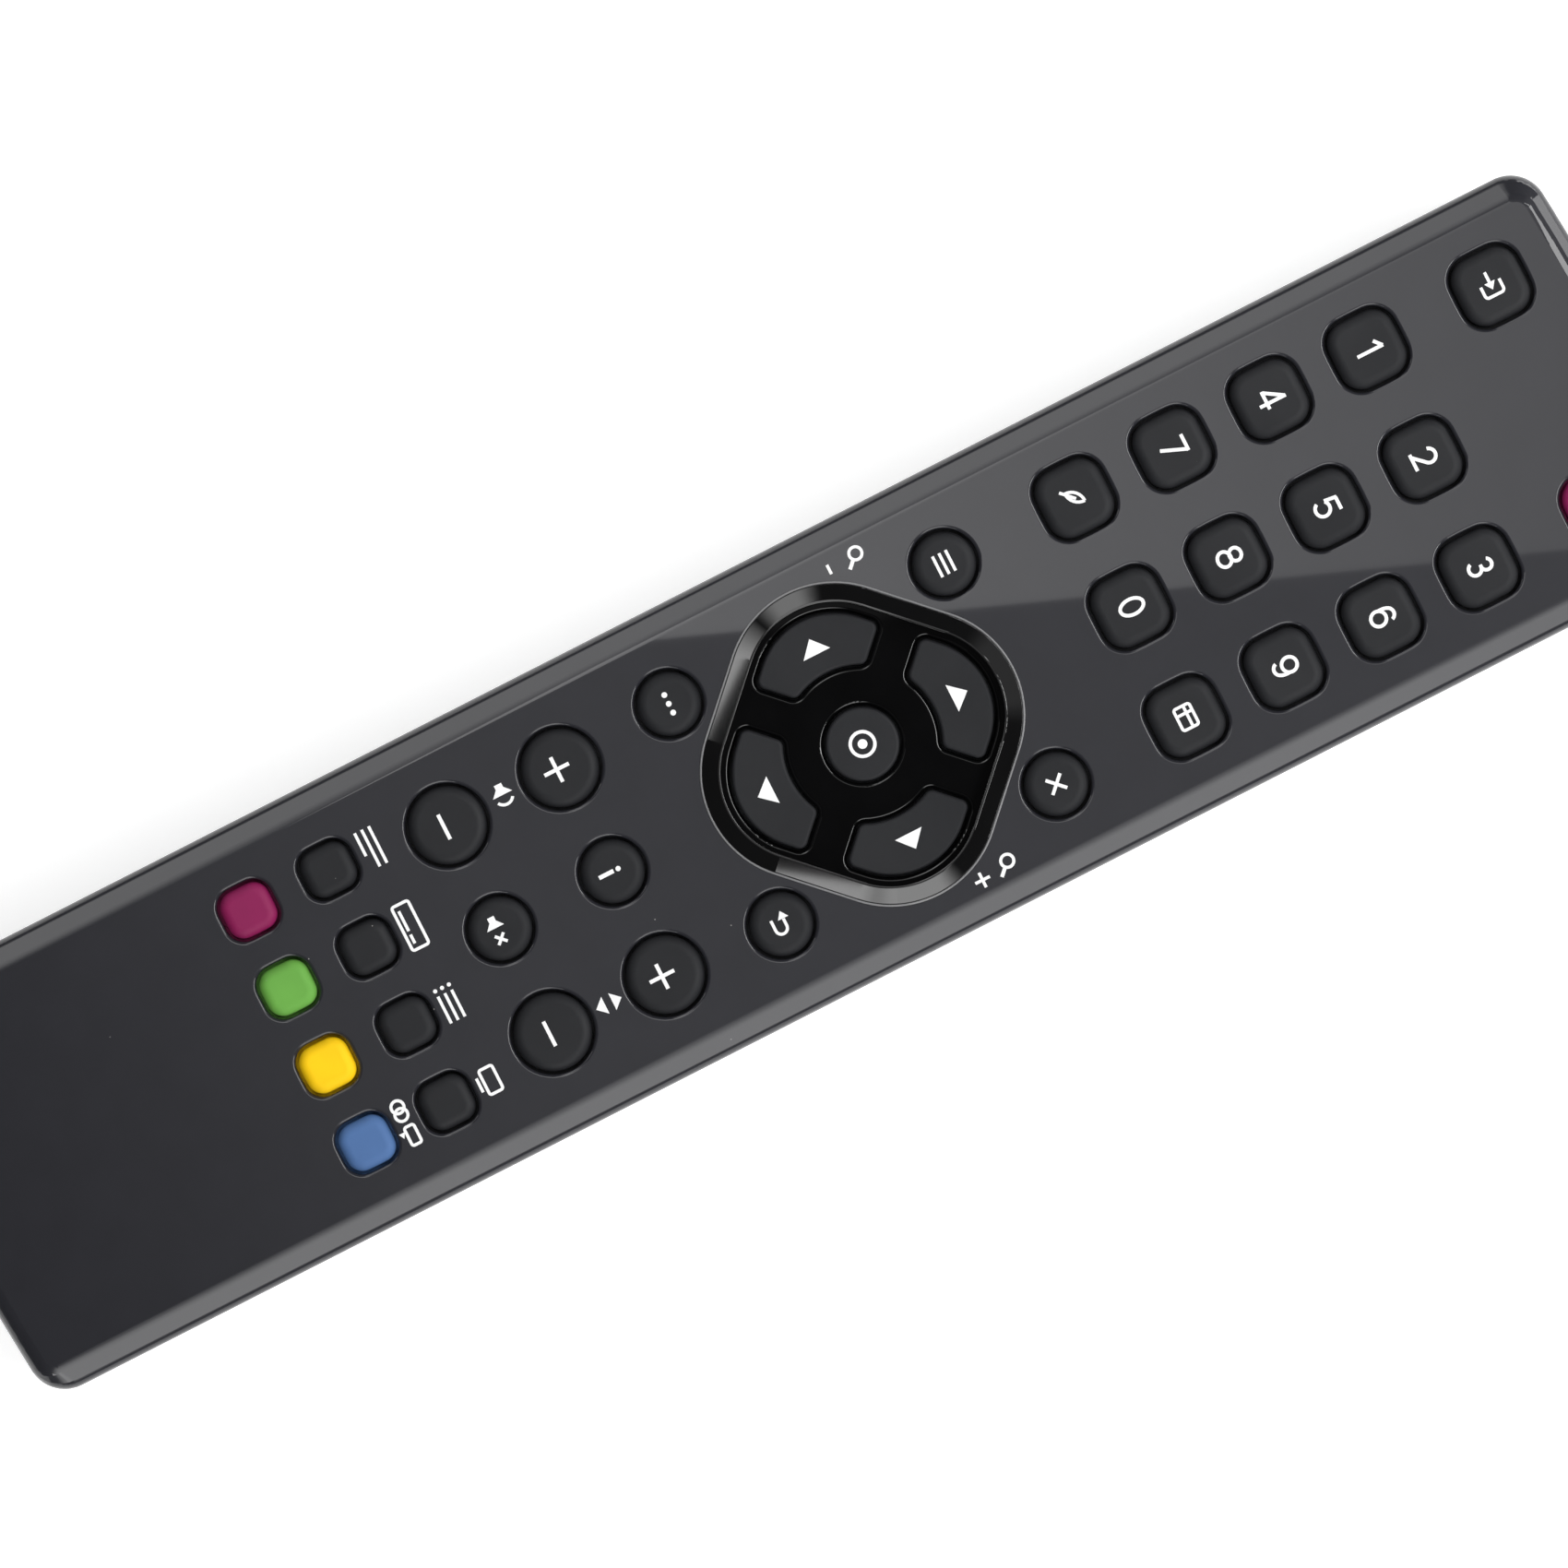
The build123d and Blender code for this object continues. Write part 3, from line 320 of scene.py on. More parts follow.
def grain_group():
    """The height of a fine moulded grain."""
    group, given, wanted = new_group(
        "Moulded grain", [("Vector", "vector"), ("Scale", "value")], [("Height", "value")]
    )
    place = {"Vector": given["Vector"], "Scale": given["Scale"]}
    noise = add_node(group, "TexNoise", {**place, "Detail": 3.0, "Roughness": 0.6})
    pits = add_node(group, "TexVoronoi", place)
    both = calc(group, "ADD", noise.outputs["Fac"], pits.outputs["Distance"])
    group.links.new(both, wanted["Height"])
    return group


def handling_group():
    """A roughness that finger marks change in broad patches."""
    group, given, wanted = new_group(
        "Handled gloss",
        [("Vector", "vector"), ("Roughness", "value"), ("Spread", "value")],
        [("Roughness", "value")],
    )
    patches = add_node(
        group,
        "TexNoise",
        {"Vector": given["Vector"], "Scale": 55.0, "Detail": 5.0, "Distortion": 0.6},
    )
    base = given["Roughness"]
    high = calc(group, "ADD", base, given["Spread"])
    level = ramp(group, patches.outputs["Fac"], 0.42, 0.66, base, high)
    group.links.new(level, wanted["Roughness"])
    return group


def dust_group():
    """A colour with a few specks of settled dust."""
    group, given, wanted = new_group(
        "Settled dust",
        [("Colour", "colour"), ("Vector", "vector"), ("Amount", "value")],
        [("Colour", "colour")],
    )
    specks = add_node(group, "TexVoronoi", {"Vector": given["Vector"], "Scale": 420.0})
    near = calc(group, "LESS_THAN", specks.outputs["Distance"], 0.035)
    chance = add_node(group, "SeparateColor", {"Color": specks.outputs["Color"]})
    picked = calc(group, "LESS_THAN", chance.outputs["Red"], given["Amount"])
    mask = calc(group, "MULTIPLY", near, picked)
    mixed = blend(group, mask, given["Colour"], DUST)
    group.links.new(mixed, wanted["Colour"])
    return group


def scratch_group():
    """The height of fine hairline scratches along the casing."""
    group, given, wanted = new_group(
        "Hairline scratches", [("Vector", "vector")], [("Height", "value")]
    )
    run = add_node(
        group,
        "Mapping",
        {"Vector": given["Vector"], "Rotation": (0, 0, radians(17)), "Scale": (1900, 24, 900)},
    )
    lines = add_node(group, "TexNoise", {"Vector": run.outputs[0], "Scale": 1.0, "Detail": 1.0})
    cut = ramp(group, lines.outputs["Fac"], 0.7, 0.76, 1.0, 0.0)
    group.links.new(cut, wanted["Height"])
    return group


GROUPS = {}


def group_node(tree, maker, inputs):
    """A shader group placed in a material with its own values, built the first time it is used."""
    if maker.__name__ not in GROUPS:
        GROUPS[maker.__name__] = maker()
    return add_node(tree, "Group", inputs, node_tree=GROUPS[maker.__name__]).outputs[0]


def surface(
    name,
    base,
    roughness,
    mottle=0.06,
    mottle_scale=180.0,
    grain_scale=2600.0,
    grain_depth=0.004,
    marks=0.06,
    dust=0.0,
    scratches=0.0,
    **sockets,
):
    """A solid finish with mottled colour, finger marks, grain, dust and hairline scratches."""
    material = bpy.data.materials.new(name)
    tree = new_tree(material)
    place = object_place(tree)
    tint = group_node(
        tree,
        mottle_group,
        {"Colour": (*base, 1.0), "Vector": place, "Scale": mottle_scale, "Spread": mottle},
    )
    if dust:
        tint = group_node(tree, dust_group, {"Colour": tint, "Vector": place, "Amount": dust})
    gloss = group_node(
        tree, handling_group, {"Vector": place, "Roughness": roughness, "Spread": marks}
    )
    height = group_node(tree, grain_group, {"Vector": place, "Scale": grain_scale})
    bump = {"Distance": grain_depth * MM, "Height": height}
    normal = add_node(tree, "Bump", bump).outputs[0]
    if scratches:
        lines = group_node(tree, scratch_group, {"Vector": place})
        cut = {"Distance": scratches * MM, "Height": lines, "Normal": normal}
        normal = add_node(tree, "Bump", cut).outputs[0]
    inputs = {"Base Color": tint, "Roughness": gloss, "Normal": normal, **sockets}
    shader = add_node(tree, "BsdfPrincipled", inputs)
    finish_tree(tree, "Material", shader.outputs[0])
    return material


def dress(material, *nodes):
    """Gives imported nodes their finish."""
    for node in nodes:
        for slot in NODES[node].material_slots:
            slot.material = material


def edit_square(name, side):
    """A new flat square piece, in edit mode."""
    bpy.ops.object.select_all(action="DESELECT")
    bpy.ops.mesh.primitive_plane_add(size=side)
    piece = bpy.context.object
    piece.name = name
    bpy.ops.object.mode_set(mode="EDIT")
    return piece


def edit_new(name):
    """A new empty mesh piece, in edit mode."""
    piece = edit_square(name, 1)
    bpy.ops.mesh.delete(type="VERT")
    return piece


def pen(width, x, y, heading, *moves):
    """A flat stroke. Each move is a length to go, or a radius and an angle to turn by."""
    bpy.ops.mesh.select_all(action="DESELECT")
    bpy.ops.mesh.primitive_plane_add(size=width * MM, location=(x * MM, y * MM, 0))
    bpy.ops.mesh.merge(type="CENTER")
    across = Vector((-sin(radians(heading)), cos(radians(heading)), 0)) * (width * MM / 2)
    bpy.ops.transform.translate(value=-across)
    bpy.ops.mesh.extrude_region_move(TRANSFORM_OT_translate={"value": 2 * across})
    bpy.ops.mesh.select_linked()
    at = Vector((x, y, 0)) * MM
    for move in moves:
        along = Vector((cos(radians(heading)), sin(radians(heading)), 0))
        left = Vector((-along.y, along.x, 0))
        if isinstance(move, tuple):
            radius, turn = move
            side = 1 if turn > 0 else -1
            centre = at + left * (side * radius * MM)
            bpy.ops.mesh.spin(
                steps=max(3, round(abs(turn) / TURN_STEP)),
                angle=-radians(turn),
                center=centre,
                axis=(0, 0, 1),
                use_auto_merge=False,
            )
            at = centre + Matrix.Rotation(radians(turn), 3, "Z") @ (at - centre)
            heading += turn
        else:
            bpy.ops.mesh.extrude_region_move(TRANSFORM_OT_translate={"value": along * (move * MM)})
            at = at + along * (move * MM)


def disc(x, y, across, points=DISC_POINTS):
    """A flat dot."""
    bpy.ops.mesh.select_all(action="DESELECT")
    bpy.ops.mesh.primitive_circle_add(
        vertices=points, radius=across * MM / 2, fill_type="NGON", location=(x * MM, y * MM, 0)
    )


def oval(width, x, y, across, up):
    """A flat oval ring of even width."""
    disc(x, y, across, OVAL_POINTS)
    bpy.ops.transform.resize(value=(1, up / across, 1), center_override=(x * MM, y * MM, 0))
    bpy.ops.mesh.inset(thickness=width * MM, use_even_offset=True)
    bpy.ops.mesh.delete(type="FACE")


def wedge(x, y, across, up, heading):
    """A flat triangle with its middle at the place, pointing along the heading."""
    bpy.ops.mesh.select_all(action="DESELECT")
    place = (x * MM, y * MM, 0)
    bpy.ops.mesh.primitive_circle_add(vertices=3, radius=1, fill_type="NGON", location=place)
    bpy.ops.transform.resize(value=(across * MM / 3**0.5, up * MM / 1.5, 1), center_override=place)
    bpy.ops.transform.rotate(value=-radians(heading - 90), orient_axis="Z", center_override=place)


def digit_strokes(digit):
    """Draws one digit. Its strokes are laid out for one height and then brought to size."""
    sizes = bpy.context.scene.remote_print
    grow = sizes.digit_height / (DIGIT_DRAWN * MM)
    w = sizes.digit_stroke / MM / grow
    if digit == 0:
        oval(w, 0, 0, 2.15, DIGIT_DRAWN)
    elif digit == 1:
        pen(w, 0.37, -1.6, 90, DIGIT_DRAWN)
        pen(w, -0.52, 0.78, 40, 1.2)
    elif digit == 2:
        pen(w, -0.79, 0.66, 80, (0.8, -213), 1.95)
        pen(w, -1.02, -1.37, 0, 2.02)
    elif digit == 3:
        pen(w, -0.6, 1.0, 65, (0.64, -245), 0.2)
        pen(w, -0.25, 0.1, 0, 0.2, (0.735, -248))
    elif digit == 4:
        pen(w, 0.42, -1.6, 90, DIGIT_DRAWN)
        pen(w, -1.08, -0.7, 0, 2.15)
        pen(w, -0.9, -0.62, 58, 2.42)
    elif digit == 5:
        pen(w, -0.62, 1.37, 0, 1.5)
        pen(w, -0.6, 1.5, -97, 1.5)
        pen(w, -0.69, 0.03, 50, (0.85, -292))
    elif digit in (6, 9):
        oval(w, 0, -0.52, 2.12, 2.16)
        pen(w, 0.71, 0.86, 108, (0.72, 132), (1.6, 30), 0.55)
    elif digit == 7:
        pen(w, -0.98, 1.37, 0, 2.0)
        pen(w, 0.84, 1.35, -112, 3.12)
    elif digit == 8:
        oval(w, 0, 0.72, 1.9, 1.76)
        oval(w, 0, -0.62, 2.15, 1.96)
    bpy.ops.mesh.select_all(action="SELECT")
    bpy.ops.transform.resize(value=(grow, grow, 1), center_override=(0, 0, 0))


def arrow_strokes(shape):
    """Draws one arrow of the ring from its width, its height and its heading."""
    wedge(0, 0, *shape)


def frame_sign(x, y, across, up):
    """Draws a rectangle with rounded corners."""
    corner = 0.3
    w = SIGN_STROKE
    run, rise = across - 2 * corner - w, up - 2 * corner - w
    turn = (corner, -90)
    pen(w, x - run / 2, y + (up - w) / 2, 0, run, turn, rise, turn, run, turn, rise, turn)


def sign_strokes(sign):
    """Draws one sign, a few millimetres across."""
    w = SIGN_STROKE
    if sign == "input":
        pen(w, -0.35, 1.2, 0, 1.15, (0.4, -90), 1.6, (0.4, -90), 1.15)
        pen(w, -1.75, 0, 0, 1.3)
        wedge(-0.15, 0, 1.35, 0.95, 0)
    elif sign == "power":
        pen(w, 0.58, 0.8, -40, (1.0, -284))
        pen(w, 0, 0.1, 90, 1.35)
    elif sign == "leaf":
        pen(w, -0.95, -0.8, 90, (1.75, -90))
        pen(w, 0.8, 0.95, -90, (1.75, -90))
        pen(w, -1.35, -1.35, 45, 2.1)
    elif sign == "table":
        frame_sign(0, 0, 3.1, 2.4)
        pen(w, -0.45, -1.1, 90, 2.2)
        pen(w, -1.4, 0.25, 0, 2.8)
    elif sign == "bars":
        for y in (0.85, 0, -0.85):
            pen(w, -1.35, y, 0, 2.7)
    elif sign == "cross":
        pen(w + 0.04, -0.95, -0.95, 45, 2.69)
        pen(w + 0.04, -0.95, 0.95, -45, 2.69)
    elif sign == "dots":
        for x in (-1.15, 0, 1.15):
            disc(x, 0, 0.68)
    elif sign == "back":
        pen(w, -0.9, -0.9, 0, 1.3, (0.72, 180), 0.9)
        wedge(-0.85, 0.54, 1.35, 0.95, 180)
    elif sign == "point":
        disc(0, 1.15, 0.62)
        pen(0.5, 0, -1.35, 90, 1.9)
    elif sign == "silent":
        pen(0.85, -1.7, 0, 0, 0.7)
        wedge(-0.72, 0, 2.2, 1.3, 180)
        pen(w, 0.55, -0.55, 45, 1.6)
        pen(w, 0.55, 0.58, -45, 1.6)
    elif sign == "speaker":
        pen(0.95, -1.6, 0, 0, 0.8)
        wedge(-0.68, 0, 2.5, 1.35, 180)
        pen(w, 0.42, -0.92, 30, (1.1, 120))
    elif sign == "steps":
        wedge(0, 0.86, 2.2, 1.2, 90)
        wedge(0, -0.86, 2.2, 1.2, -90)
    elif sign == "target":
        oval(0.4, 0, 0, 3.3, 3.3)
        disc(0, 0, 1.15)
    elif sign == "lens":
        oval(w, -0.3, 0.3, 1.9, 1.9)
        pen(0.44, 0.3, -0.3, -45, 1.15)
    elif sign == "plus":
        pen(ROCKER_STROKE, -ROCKER_SIGN / 2, 0, 0, ROCKER_SIGN)
        pen(ROCKER_STROKE, 0, -ROCKER_SIGN / 2, 90, ROCKER_SIGN)
    elif sign == "minus":
        pen(ROCKER_STROKE, -ROCKER_SIGN / 2, 0, 0, ROCKER_SIGN)
    elif sign == "small plus":
        pen(w, -0.95, 0, 0, 1.9)
        pen(w, 0, -0.95, 90, 1.9)
    elif sign == "small minus":
        pen(w, -0.6, 0, 0, 1.2)
    elif sign == "page":
        for y, run in ((0.92, 4.8), (0, 4.8), (-0.92, 3.0)):
            pen(w, -2.4, y, 0, run)
    elif sign == "caption":
        frame_sign(0, 0, 6.0, 2.5)
        pen(w, -2.1, -0.45, 0, 2.6)
        pen(w, 0.95, -0.45, 0, 1.15)
    elif sign == "list":
        for y in (0.9, 0, -0.9):
            disc(-2.0, y, 0.5)
            pen(w, -1.3, y, 0, 3.5)
    elif sign == "screen":
        frame_sign(0, 0.2, 3.5, 2.1)
        pen(w, -0.9, -1.25, 0, 1.8)
    elif sign == "pair":
        oval(w, -2.1, 0, 1.9, 1.9)
        oval(w, -1.1, 0, 1.9, 1.9)
        frame_sign(1.6, 0.15, 2.7, 1.6)
        wedge(1.1, -0.95, 0.8, 0.7, -120)


def finish_sign(film, sunk):
    """Thickens a flat sign, joins its strokes into one solid and leaves edit mode."""
    bpy.ops.mesh.select_all(action="SELECT")
    bpy.ops.mesh.remove_doubles(threshold=SIGN_MERGE * MM)
    bpy.ops.mesh.normals_make_consistent(inside=False)
    bpy.ops.transform.translate(value=(0, 0, -sunk))
    bpy.ops.mesh.extrude_region_move(TRANSFORM_OT_translate={"value": (0, 0, film + sunk)})
    bpy.ops.mesh.select_all(action="SELECT")
    bpy.ops.mesh.normals_make_consistent(inside=False)
    bpy.ops.mesh.intersect_boolean(operation="UNION", use_self=True, solver="EXACT")
    bpy.ops.object.mode_set(mode="OBJECT")


def settle(piece, place, turn, body, material):
    """Moves a finished piece's mesh to its place, and makes the piece ride on a body."""
    bpy.ops.object.select_all(action="DESELECT")
    piece.select_set(True)
    bpy.context.view_layer.objects.active = piece
    piece.rotation_euler = (0, 0, turn)
    piece.location = place
    bpy.ops.object.transform_apply(location=True, rotation=True, scale=True)
    piece.data.materials.clear()
    piece.data.materials.append(material)
    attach(piece, body)


def ink():
    """The white screen-printed ink."""
    if "printed_ink" not in bpy.data.materials:
        surface(
            "printed_ink",
            bpy.context.scene.remote_print.ink,
            0.5,
            mottle=0.03,
            grain_depth=0.002,
            marks=0.1,
            dust=0.05,
        )
    return bpy.data.materials["printed_ink"]


def print_sign(name, draw, what, place, body=None, turn=0.0):
    """Prints one digit or sign at a place. It rides on the key of its name, or else on a body."""
    piece = edit_new(f"{name}_print")
    draw(what)
    film = bpy.context.scene.remote_print.film
    finish_sign(film, film)
    settle(piece, place, turn, body or f"{name}_cap", ink())


class REMOTE_OT_casing(bpy.types.Operator):
    """Finish the front shell, the back shell and the battery cover"""

    bl_idname = "remote.casing"
    bl_label = "Casing"

    def execute(self, context):
        finish = context.scene.remote_casing
        front = surface(
            "casing_front",
            finish.face,
            finish.face_roughness,
            mottle=0.05,
            grain_scale=1 / finish.grain,
            grain_depth=0.0008,
            marks=0.05,
            dust=0.06,
            scratches=0.0006,
            **{"Coat Weight": finish.face_coat, "Coat Roughness": 0.02, "Specular IOR Level": 0.1},
        )
        back = surface(
            "casing_back",
            finish.back,
            0.52,
            mottle=0.08,
            grain_scale=1 / finish.grain,
            grain_depth=0.02,
            marks=0.08,
            dust=0.06,
        )
        dress(front, "upper_casing")
        dress(back, "lower_casing", "battery_cover")
        return {"FINISHED"}


class REMOTE_OT_ring(bpy.types.Operator):
    """Finish the polished navigation ring and lay a light grey bead round its foot, a painted
    highlight line
    """

    bl_idname = "remote.ring"
    bl_label = "Navigation ring"

    def bead(self, finish):
        """A thin half-round bead in the corner between the ring and the face, whose light grey is a
        painted highlight line.
        """
        piece = edit_square("ring_highlight_bead", 2 * (RING_HALF_SIDE * MM + finish.highlight_bead_width))
        bpy.ops.mesh.bevel(
            affect="VERTICES", offset=RING_CORNER * MM + finish.highlight_bead_width, segments=24, profile=0.5
        )
        bpy.ops.mesh.select_all(action="SELECT")
        bpy.ops.mesh.inset(thickness=finish.highlight_bead_width, use_even_offset=True)
        bpy.ops.mesh.delete(type="FACE")
        bpy.ops.mesh.select_all(action="SELECT")
        rise = (0, 0, finish.highlight_bead_height)
        bpy.ops.mesh.extrude_region_move(TRANSFORM_OT_translate={"value": rise})
        bpy.ops.mesh.bevel(offset=0.35 * finish.highlight_bead_width, segments=3)
        bpy.ops.mesh.select_all(action="SELECT")
        bpy.ops.mesh.remove_doubles(threshold=0.001 * MM)
        bpy.ops.mesh.normals_make_consistent(inside=False)
        bpy.ops.object.mode_set(mode="OBJECT")
        bpy.ops.object.shade_smooth_by_angle(angle=radians(50))
        # Light grey satin on the bead: a painted highlight line round the ring's foot
        satin = surface(
            "ring_highlight_bead", finish.bead, 0.3, mottle=0.1, marks=0.1, **{"Coat Weight": 0.5}
        )
        place = (RING_MIDDLE.x, RING_MIDDLE.y, FACE_HEIGHT)
        settle(piece, place, radians(45), "root", satin)

    def execute(self, context):
        ring = surface(
            "ring_black",
            context.scene.remote_casing.ring,
            0.35,
            mottle=0.2,
            grain_depth=0.001,
            marks=0.05,
            dust=0.05,
            scratches=0.0004,
            **{"Specular IOR Level": 0.0, "Coat Roughness": 0.03, "Coat IOR": 1.65},
        )
        # The rim and the openings' edges are polished and the floor between the keys is satin
        tree = ring.node_tree
        satin = context.scene.remote_casing.floor_polish
        height = split(tree, object_place(tree))["Z"]
        high = ramp(tree, height, FACE_HEIGHT - 0.2 * MM, FACE_HEIGHT + 0.1 * MM, satin)
        upright = split(tree, add_node(tree, "NewGeometry").outputs["Normal"])["Z"]
        steep = ramp(tree, upright, 0.97, 0.995, 1.0, satin)
        for shader in nodes_of(tree, "BsdfPrincipled"):
            tree.links.new(calc(tree, "MAXIMUM", high, steep), shader.inputs["Coat Weight"])
        dress(ring, "nav_bezel")
        self.bead(context.scene.remote_casing)
        return {"FINISHED"}


class REMOTE_OT_keys(bpy.types.Operator):
    """Finish the dark and the coloured rubber keys"""

    bl_idname = "remote.keys"
    bl_label = "Keys"

    def execute(self, context):
        finish = context.scene.remote_keys
        rubbers = {
            name: surface(
                "rubber_" + name,
                getattr(finish, name),
                finish.roughness,
                mottle=0.07,
                grain_scale=5200.0,
                grain_depth=0.003,
                marks=0.12,
                dust=0.12,
                **{"Specular IOR Level": 0.3},
            )
            for name in ("dark", *COLOUR_KEYS)
        }
        for node in NODES:
            if node.startswith("key_"):
                tone = node.removeprefix("key_").replace("power", "magenta")
                dress(rubbers.get(tone, rubbers["dark"]), node)
        return {"FINISHED"}


class REMOTE_OT_digits(bpy.types.Operator):
    """Print the digits on the number keys"""

    bl_idname = "remote.digits"
    bl_label = "Digits"

    def execute(self, context):
        for digit in range(10):
            key = f"key_{digit}"
            place = middle(key) + Vector((0, DIGIT_RAISE * MM, 0))
            turn = pi if digit == 9 else 0.0
            print_sign(key, digit_strokes, digit, place, turn=turn)
        return {"FINISHED"}


class REMOTE_OT_arrows(bpy.types.Operator):
    """Print the arrows in the navigation ring"""

    bl_idname = "remote.arrows"
    bl_label = "Arrows"

    def execute(self, context):
        sizes = context.scene.remote_print
        headings = {"key_up": 90, "key_left": 180, "key_down": -90, "key_right": 0}
        for key, heading in headings.items():
            way = Vector((cos(radians(heading)), sin(radians(heading)), 0))
            place = RING_MIDDLE + way * sizes.arrow_distance
            place.z = middle(key).z
            shape = (sizes.arrow_width / MM, sizes.arrow_height / MM, heading)
            print_sign(key, arrow_strokes, shape, place)
        return {"FINISHED"}


class REMOTE_OT_key_signs(bpy.types.Operator):
    """Print the plain signs on the other keys"""

    bl_idname = "remote.key_signs"
    bl_label = "Key signs"

    signs = {
        "key_source": "input",
        "key_power": "power",
        "key_eco": "leaf",
        "key_guide": "table",
        "key_menu": "bars",
        "key_exit": "cross",
        "key_option": "dots",
        "key_return": "back",
        "key_info": "point",
        "key_mute": "silent",
        "key_ok": "target",
        "key_volume_up": "plus",
        "key_volume_down": "minus",
        "key_channel_up": "plus",
        "key_channel_down": "minus",
    }

    def execute(self, context):
        for key, sign in self.signs.items():
            place = middle(key)
            if sign in ("plus", "minus", "point", "silent"):
                place.y -= ROCKER_SIGN_DROP * MM
            print_sign(key, sign_strokes, sign, place)
        return {"FINISHED"}


class REMOTE_OT_face_signs(bpy.types.Operator):
    """Print the plain signs on the face"""

    bl_idname = "remote.face_signs"
    bl_label = "Face signs"

    def execute(self, context):
        volume = (middle("key_volume_up") + middle("key_volume_down")) / 2
        channel = (middle("key_channel_up") + middle("key_channel_down")) / 2
        over_dark = Vector((0, SIGN_OVER_DARK_KEY * MM, 0))
        over_blue = Vector((0, SIGN_OVER_BLUE_KEY * MM, 0))
        ring = RING_MIDDLE
        places = {
            "zoom_out": ("lens", ring + Vector((-20.0, 9.1, 0)) * MM),
            "zoom_out_minus": ("small minus", ring + Vector((-20.0, 5.8, 0)) * MM),
            "zoom_in": ("lens", ring + Vector((20.2, 8.6, 0)) * MM),
            "zoom_in_plus": ("small plus", ring + Vector((20.6, 5.3, 0)) * MM),
            "volume": ("speaker", volume),
            "channel": ("steps", channel),
            "page": ("page", middle("key_text") + over_dark),
            "caption": ("caption", middle("key_subtitle") + over_dark),
            "list": ("list", middle("key_list") + over_dark),
            "screen": ("screen", middle("key_tv") + over_dark),
            "pair": ("pair", middle("key_blue") + over_blue),
        }
        for name, (sign, place) in places.items():
            place.z = FACE_HEIGHT
            print_sign(name, sign_strokes, sign, place, "root")
        return {"FINISHED"}


class REMOTE_OT_infrared(bpy.types.Operator):
    """Finish the infrared window and the LED"""

    bl_idname = "remote.infrared"
    bl_label = "Infrared window"

    def execute(self, context):
        window = surface(
            "window_dark",
            context.scene.remote_casing.window,
            0.06,
            mottle=0.15,
            grain_depth=0.0003,
            marks=0.06,
            dust=0.04,
            **{"Specular IOR Level": 0.2},
        )
        lens = surface(
            "led_lens",
            (0.05, 0.05, 0.09),
            0.06,
            mottle=0.2,
            grain_depth=0.0005,
            marks=0.05,
            **{"Transmission Weight": 0.55, "IOR": 1.55},
        )
        dress(window, "ir_window")
        dress(lens, "ir_led")
        return {"FINISHED"}


class REMOTE_OT_board(bpy.types.Operator):
    """Finish the board, the mat and the parts on the board"""

    bl_idname = "remote.board"
    bl_label = "Circuit board"

    def execute(self, context):
        board = surface("board_laminate", (0.36, 0.25, 0.1), 0.5, mottle=0.18, mottle_scale=600)
        mat = surface("mat_silicone", (0.05, 0.05, 0.055), 0.6, marks=0.1, dust=0.1)
        chip = surface("chip_epoxy", (0.012, 0.012, 0.013), 0.6, grain_depth=0.01)
        dip = surface("resonator_dip", (0.02, 0.1, 0.3), 0.25, mottle=0.15)
        sleeve = surface("capacitor_sleeve", (0.01, 0.012, 0.03), 0.3, mottle=0.1)
        dress(board, "circuit_board")
        dress(mat, "keymat")
        dress(chip, "controller_chip", "led_transistor")
        dress(dip, "resonator")
        dress(sleeve, "capacitor")
        return {"FINISHED"}


class REMOTE_OT_tracks(bpy.types.Operator):
    """Lay the copper tracks under the board, from the chip to the cells and the parts round it"""

    bl_idname = "remote.tracks"
    bl_label = "Copper tracks"

    def execute(self, context):
        board_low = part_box("circuit_board")[0].z
        chip = middle("controller_chip")
        copper = surface(
            "bare_copper",
            (0.55, 0.2, 0.09),
            0.35,
            mottle=0.2,
            marks=0.2,
            scratches=0.0008,
            **{"Metallic": 1.0},
        )
        # Each track: a start seen from the chip's middle, a first heading and the moves after it
        routes = {
            "track_led": (1.9, 7.6, 90, 22.0, (3.0, -45), 6.0, (3.0, 45), 20.0),
            "track_driver": (3.8, 7.6, 90, 18.0, (3.0, -40), 8.0, (3.0, 40), 12.5),
            "track_clock": (5.6, 7.6, 90, 9.0, (2.0, -60), 1.8, (2.0, 60), 5.0),
            "track_supply": (-1.9, 7.6, 90, 14.0, (3.0, 45), 7.0, (3.0, -45), 6.0),
            "track_cell": (-6.8, -4.0, 180, 4.0, (3.0, 90), 66.0, (3.0, 45), 2.0, (3.0, -45), 7.5),
            "track_return": (6.8, -4.0, 0, 4.0, (3.0, -90), 66.0, (3.0, -45), 2.0, (3.0, 45), 7.5),
            "track_keys_left": (-6.8, 3.0, 180, 6.0, (3.0, 90), 96.0),
            "track_keys_right": (6.8, 3.0, 0, 6.0, (3.0, -90), 96.0),
        }
        for name, (x, y, heading, *moves) in routes.items():
            piece = edit_new(name)
            pen(TRACK_WIDTH, x, y, heading, *moves)
            disc(x, y, TRACK_PAD)
            finish_sign(TRACK_HEIGHT * MM, 0.0)
            place = Vector((chip.x, chip.y, board_low - TRACK_HEIGHT * MM))
            settle(piece, place, 0.0, "root", copper)
        return {"FINISHED"}


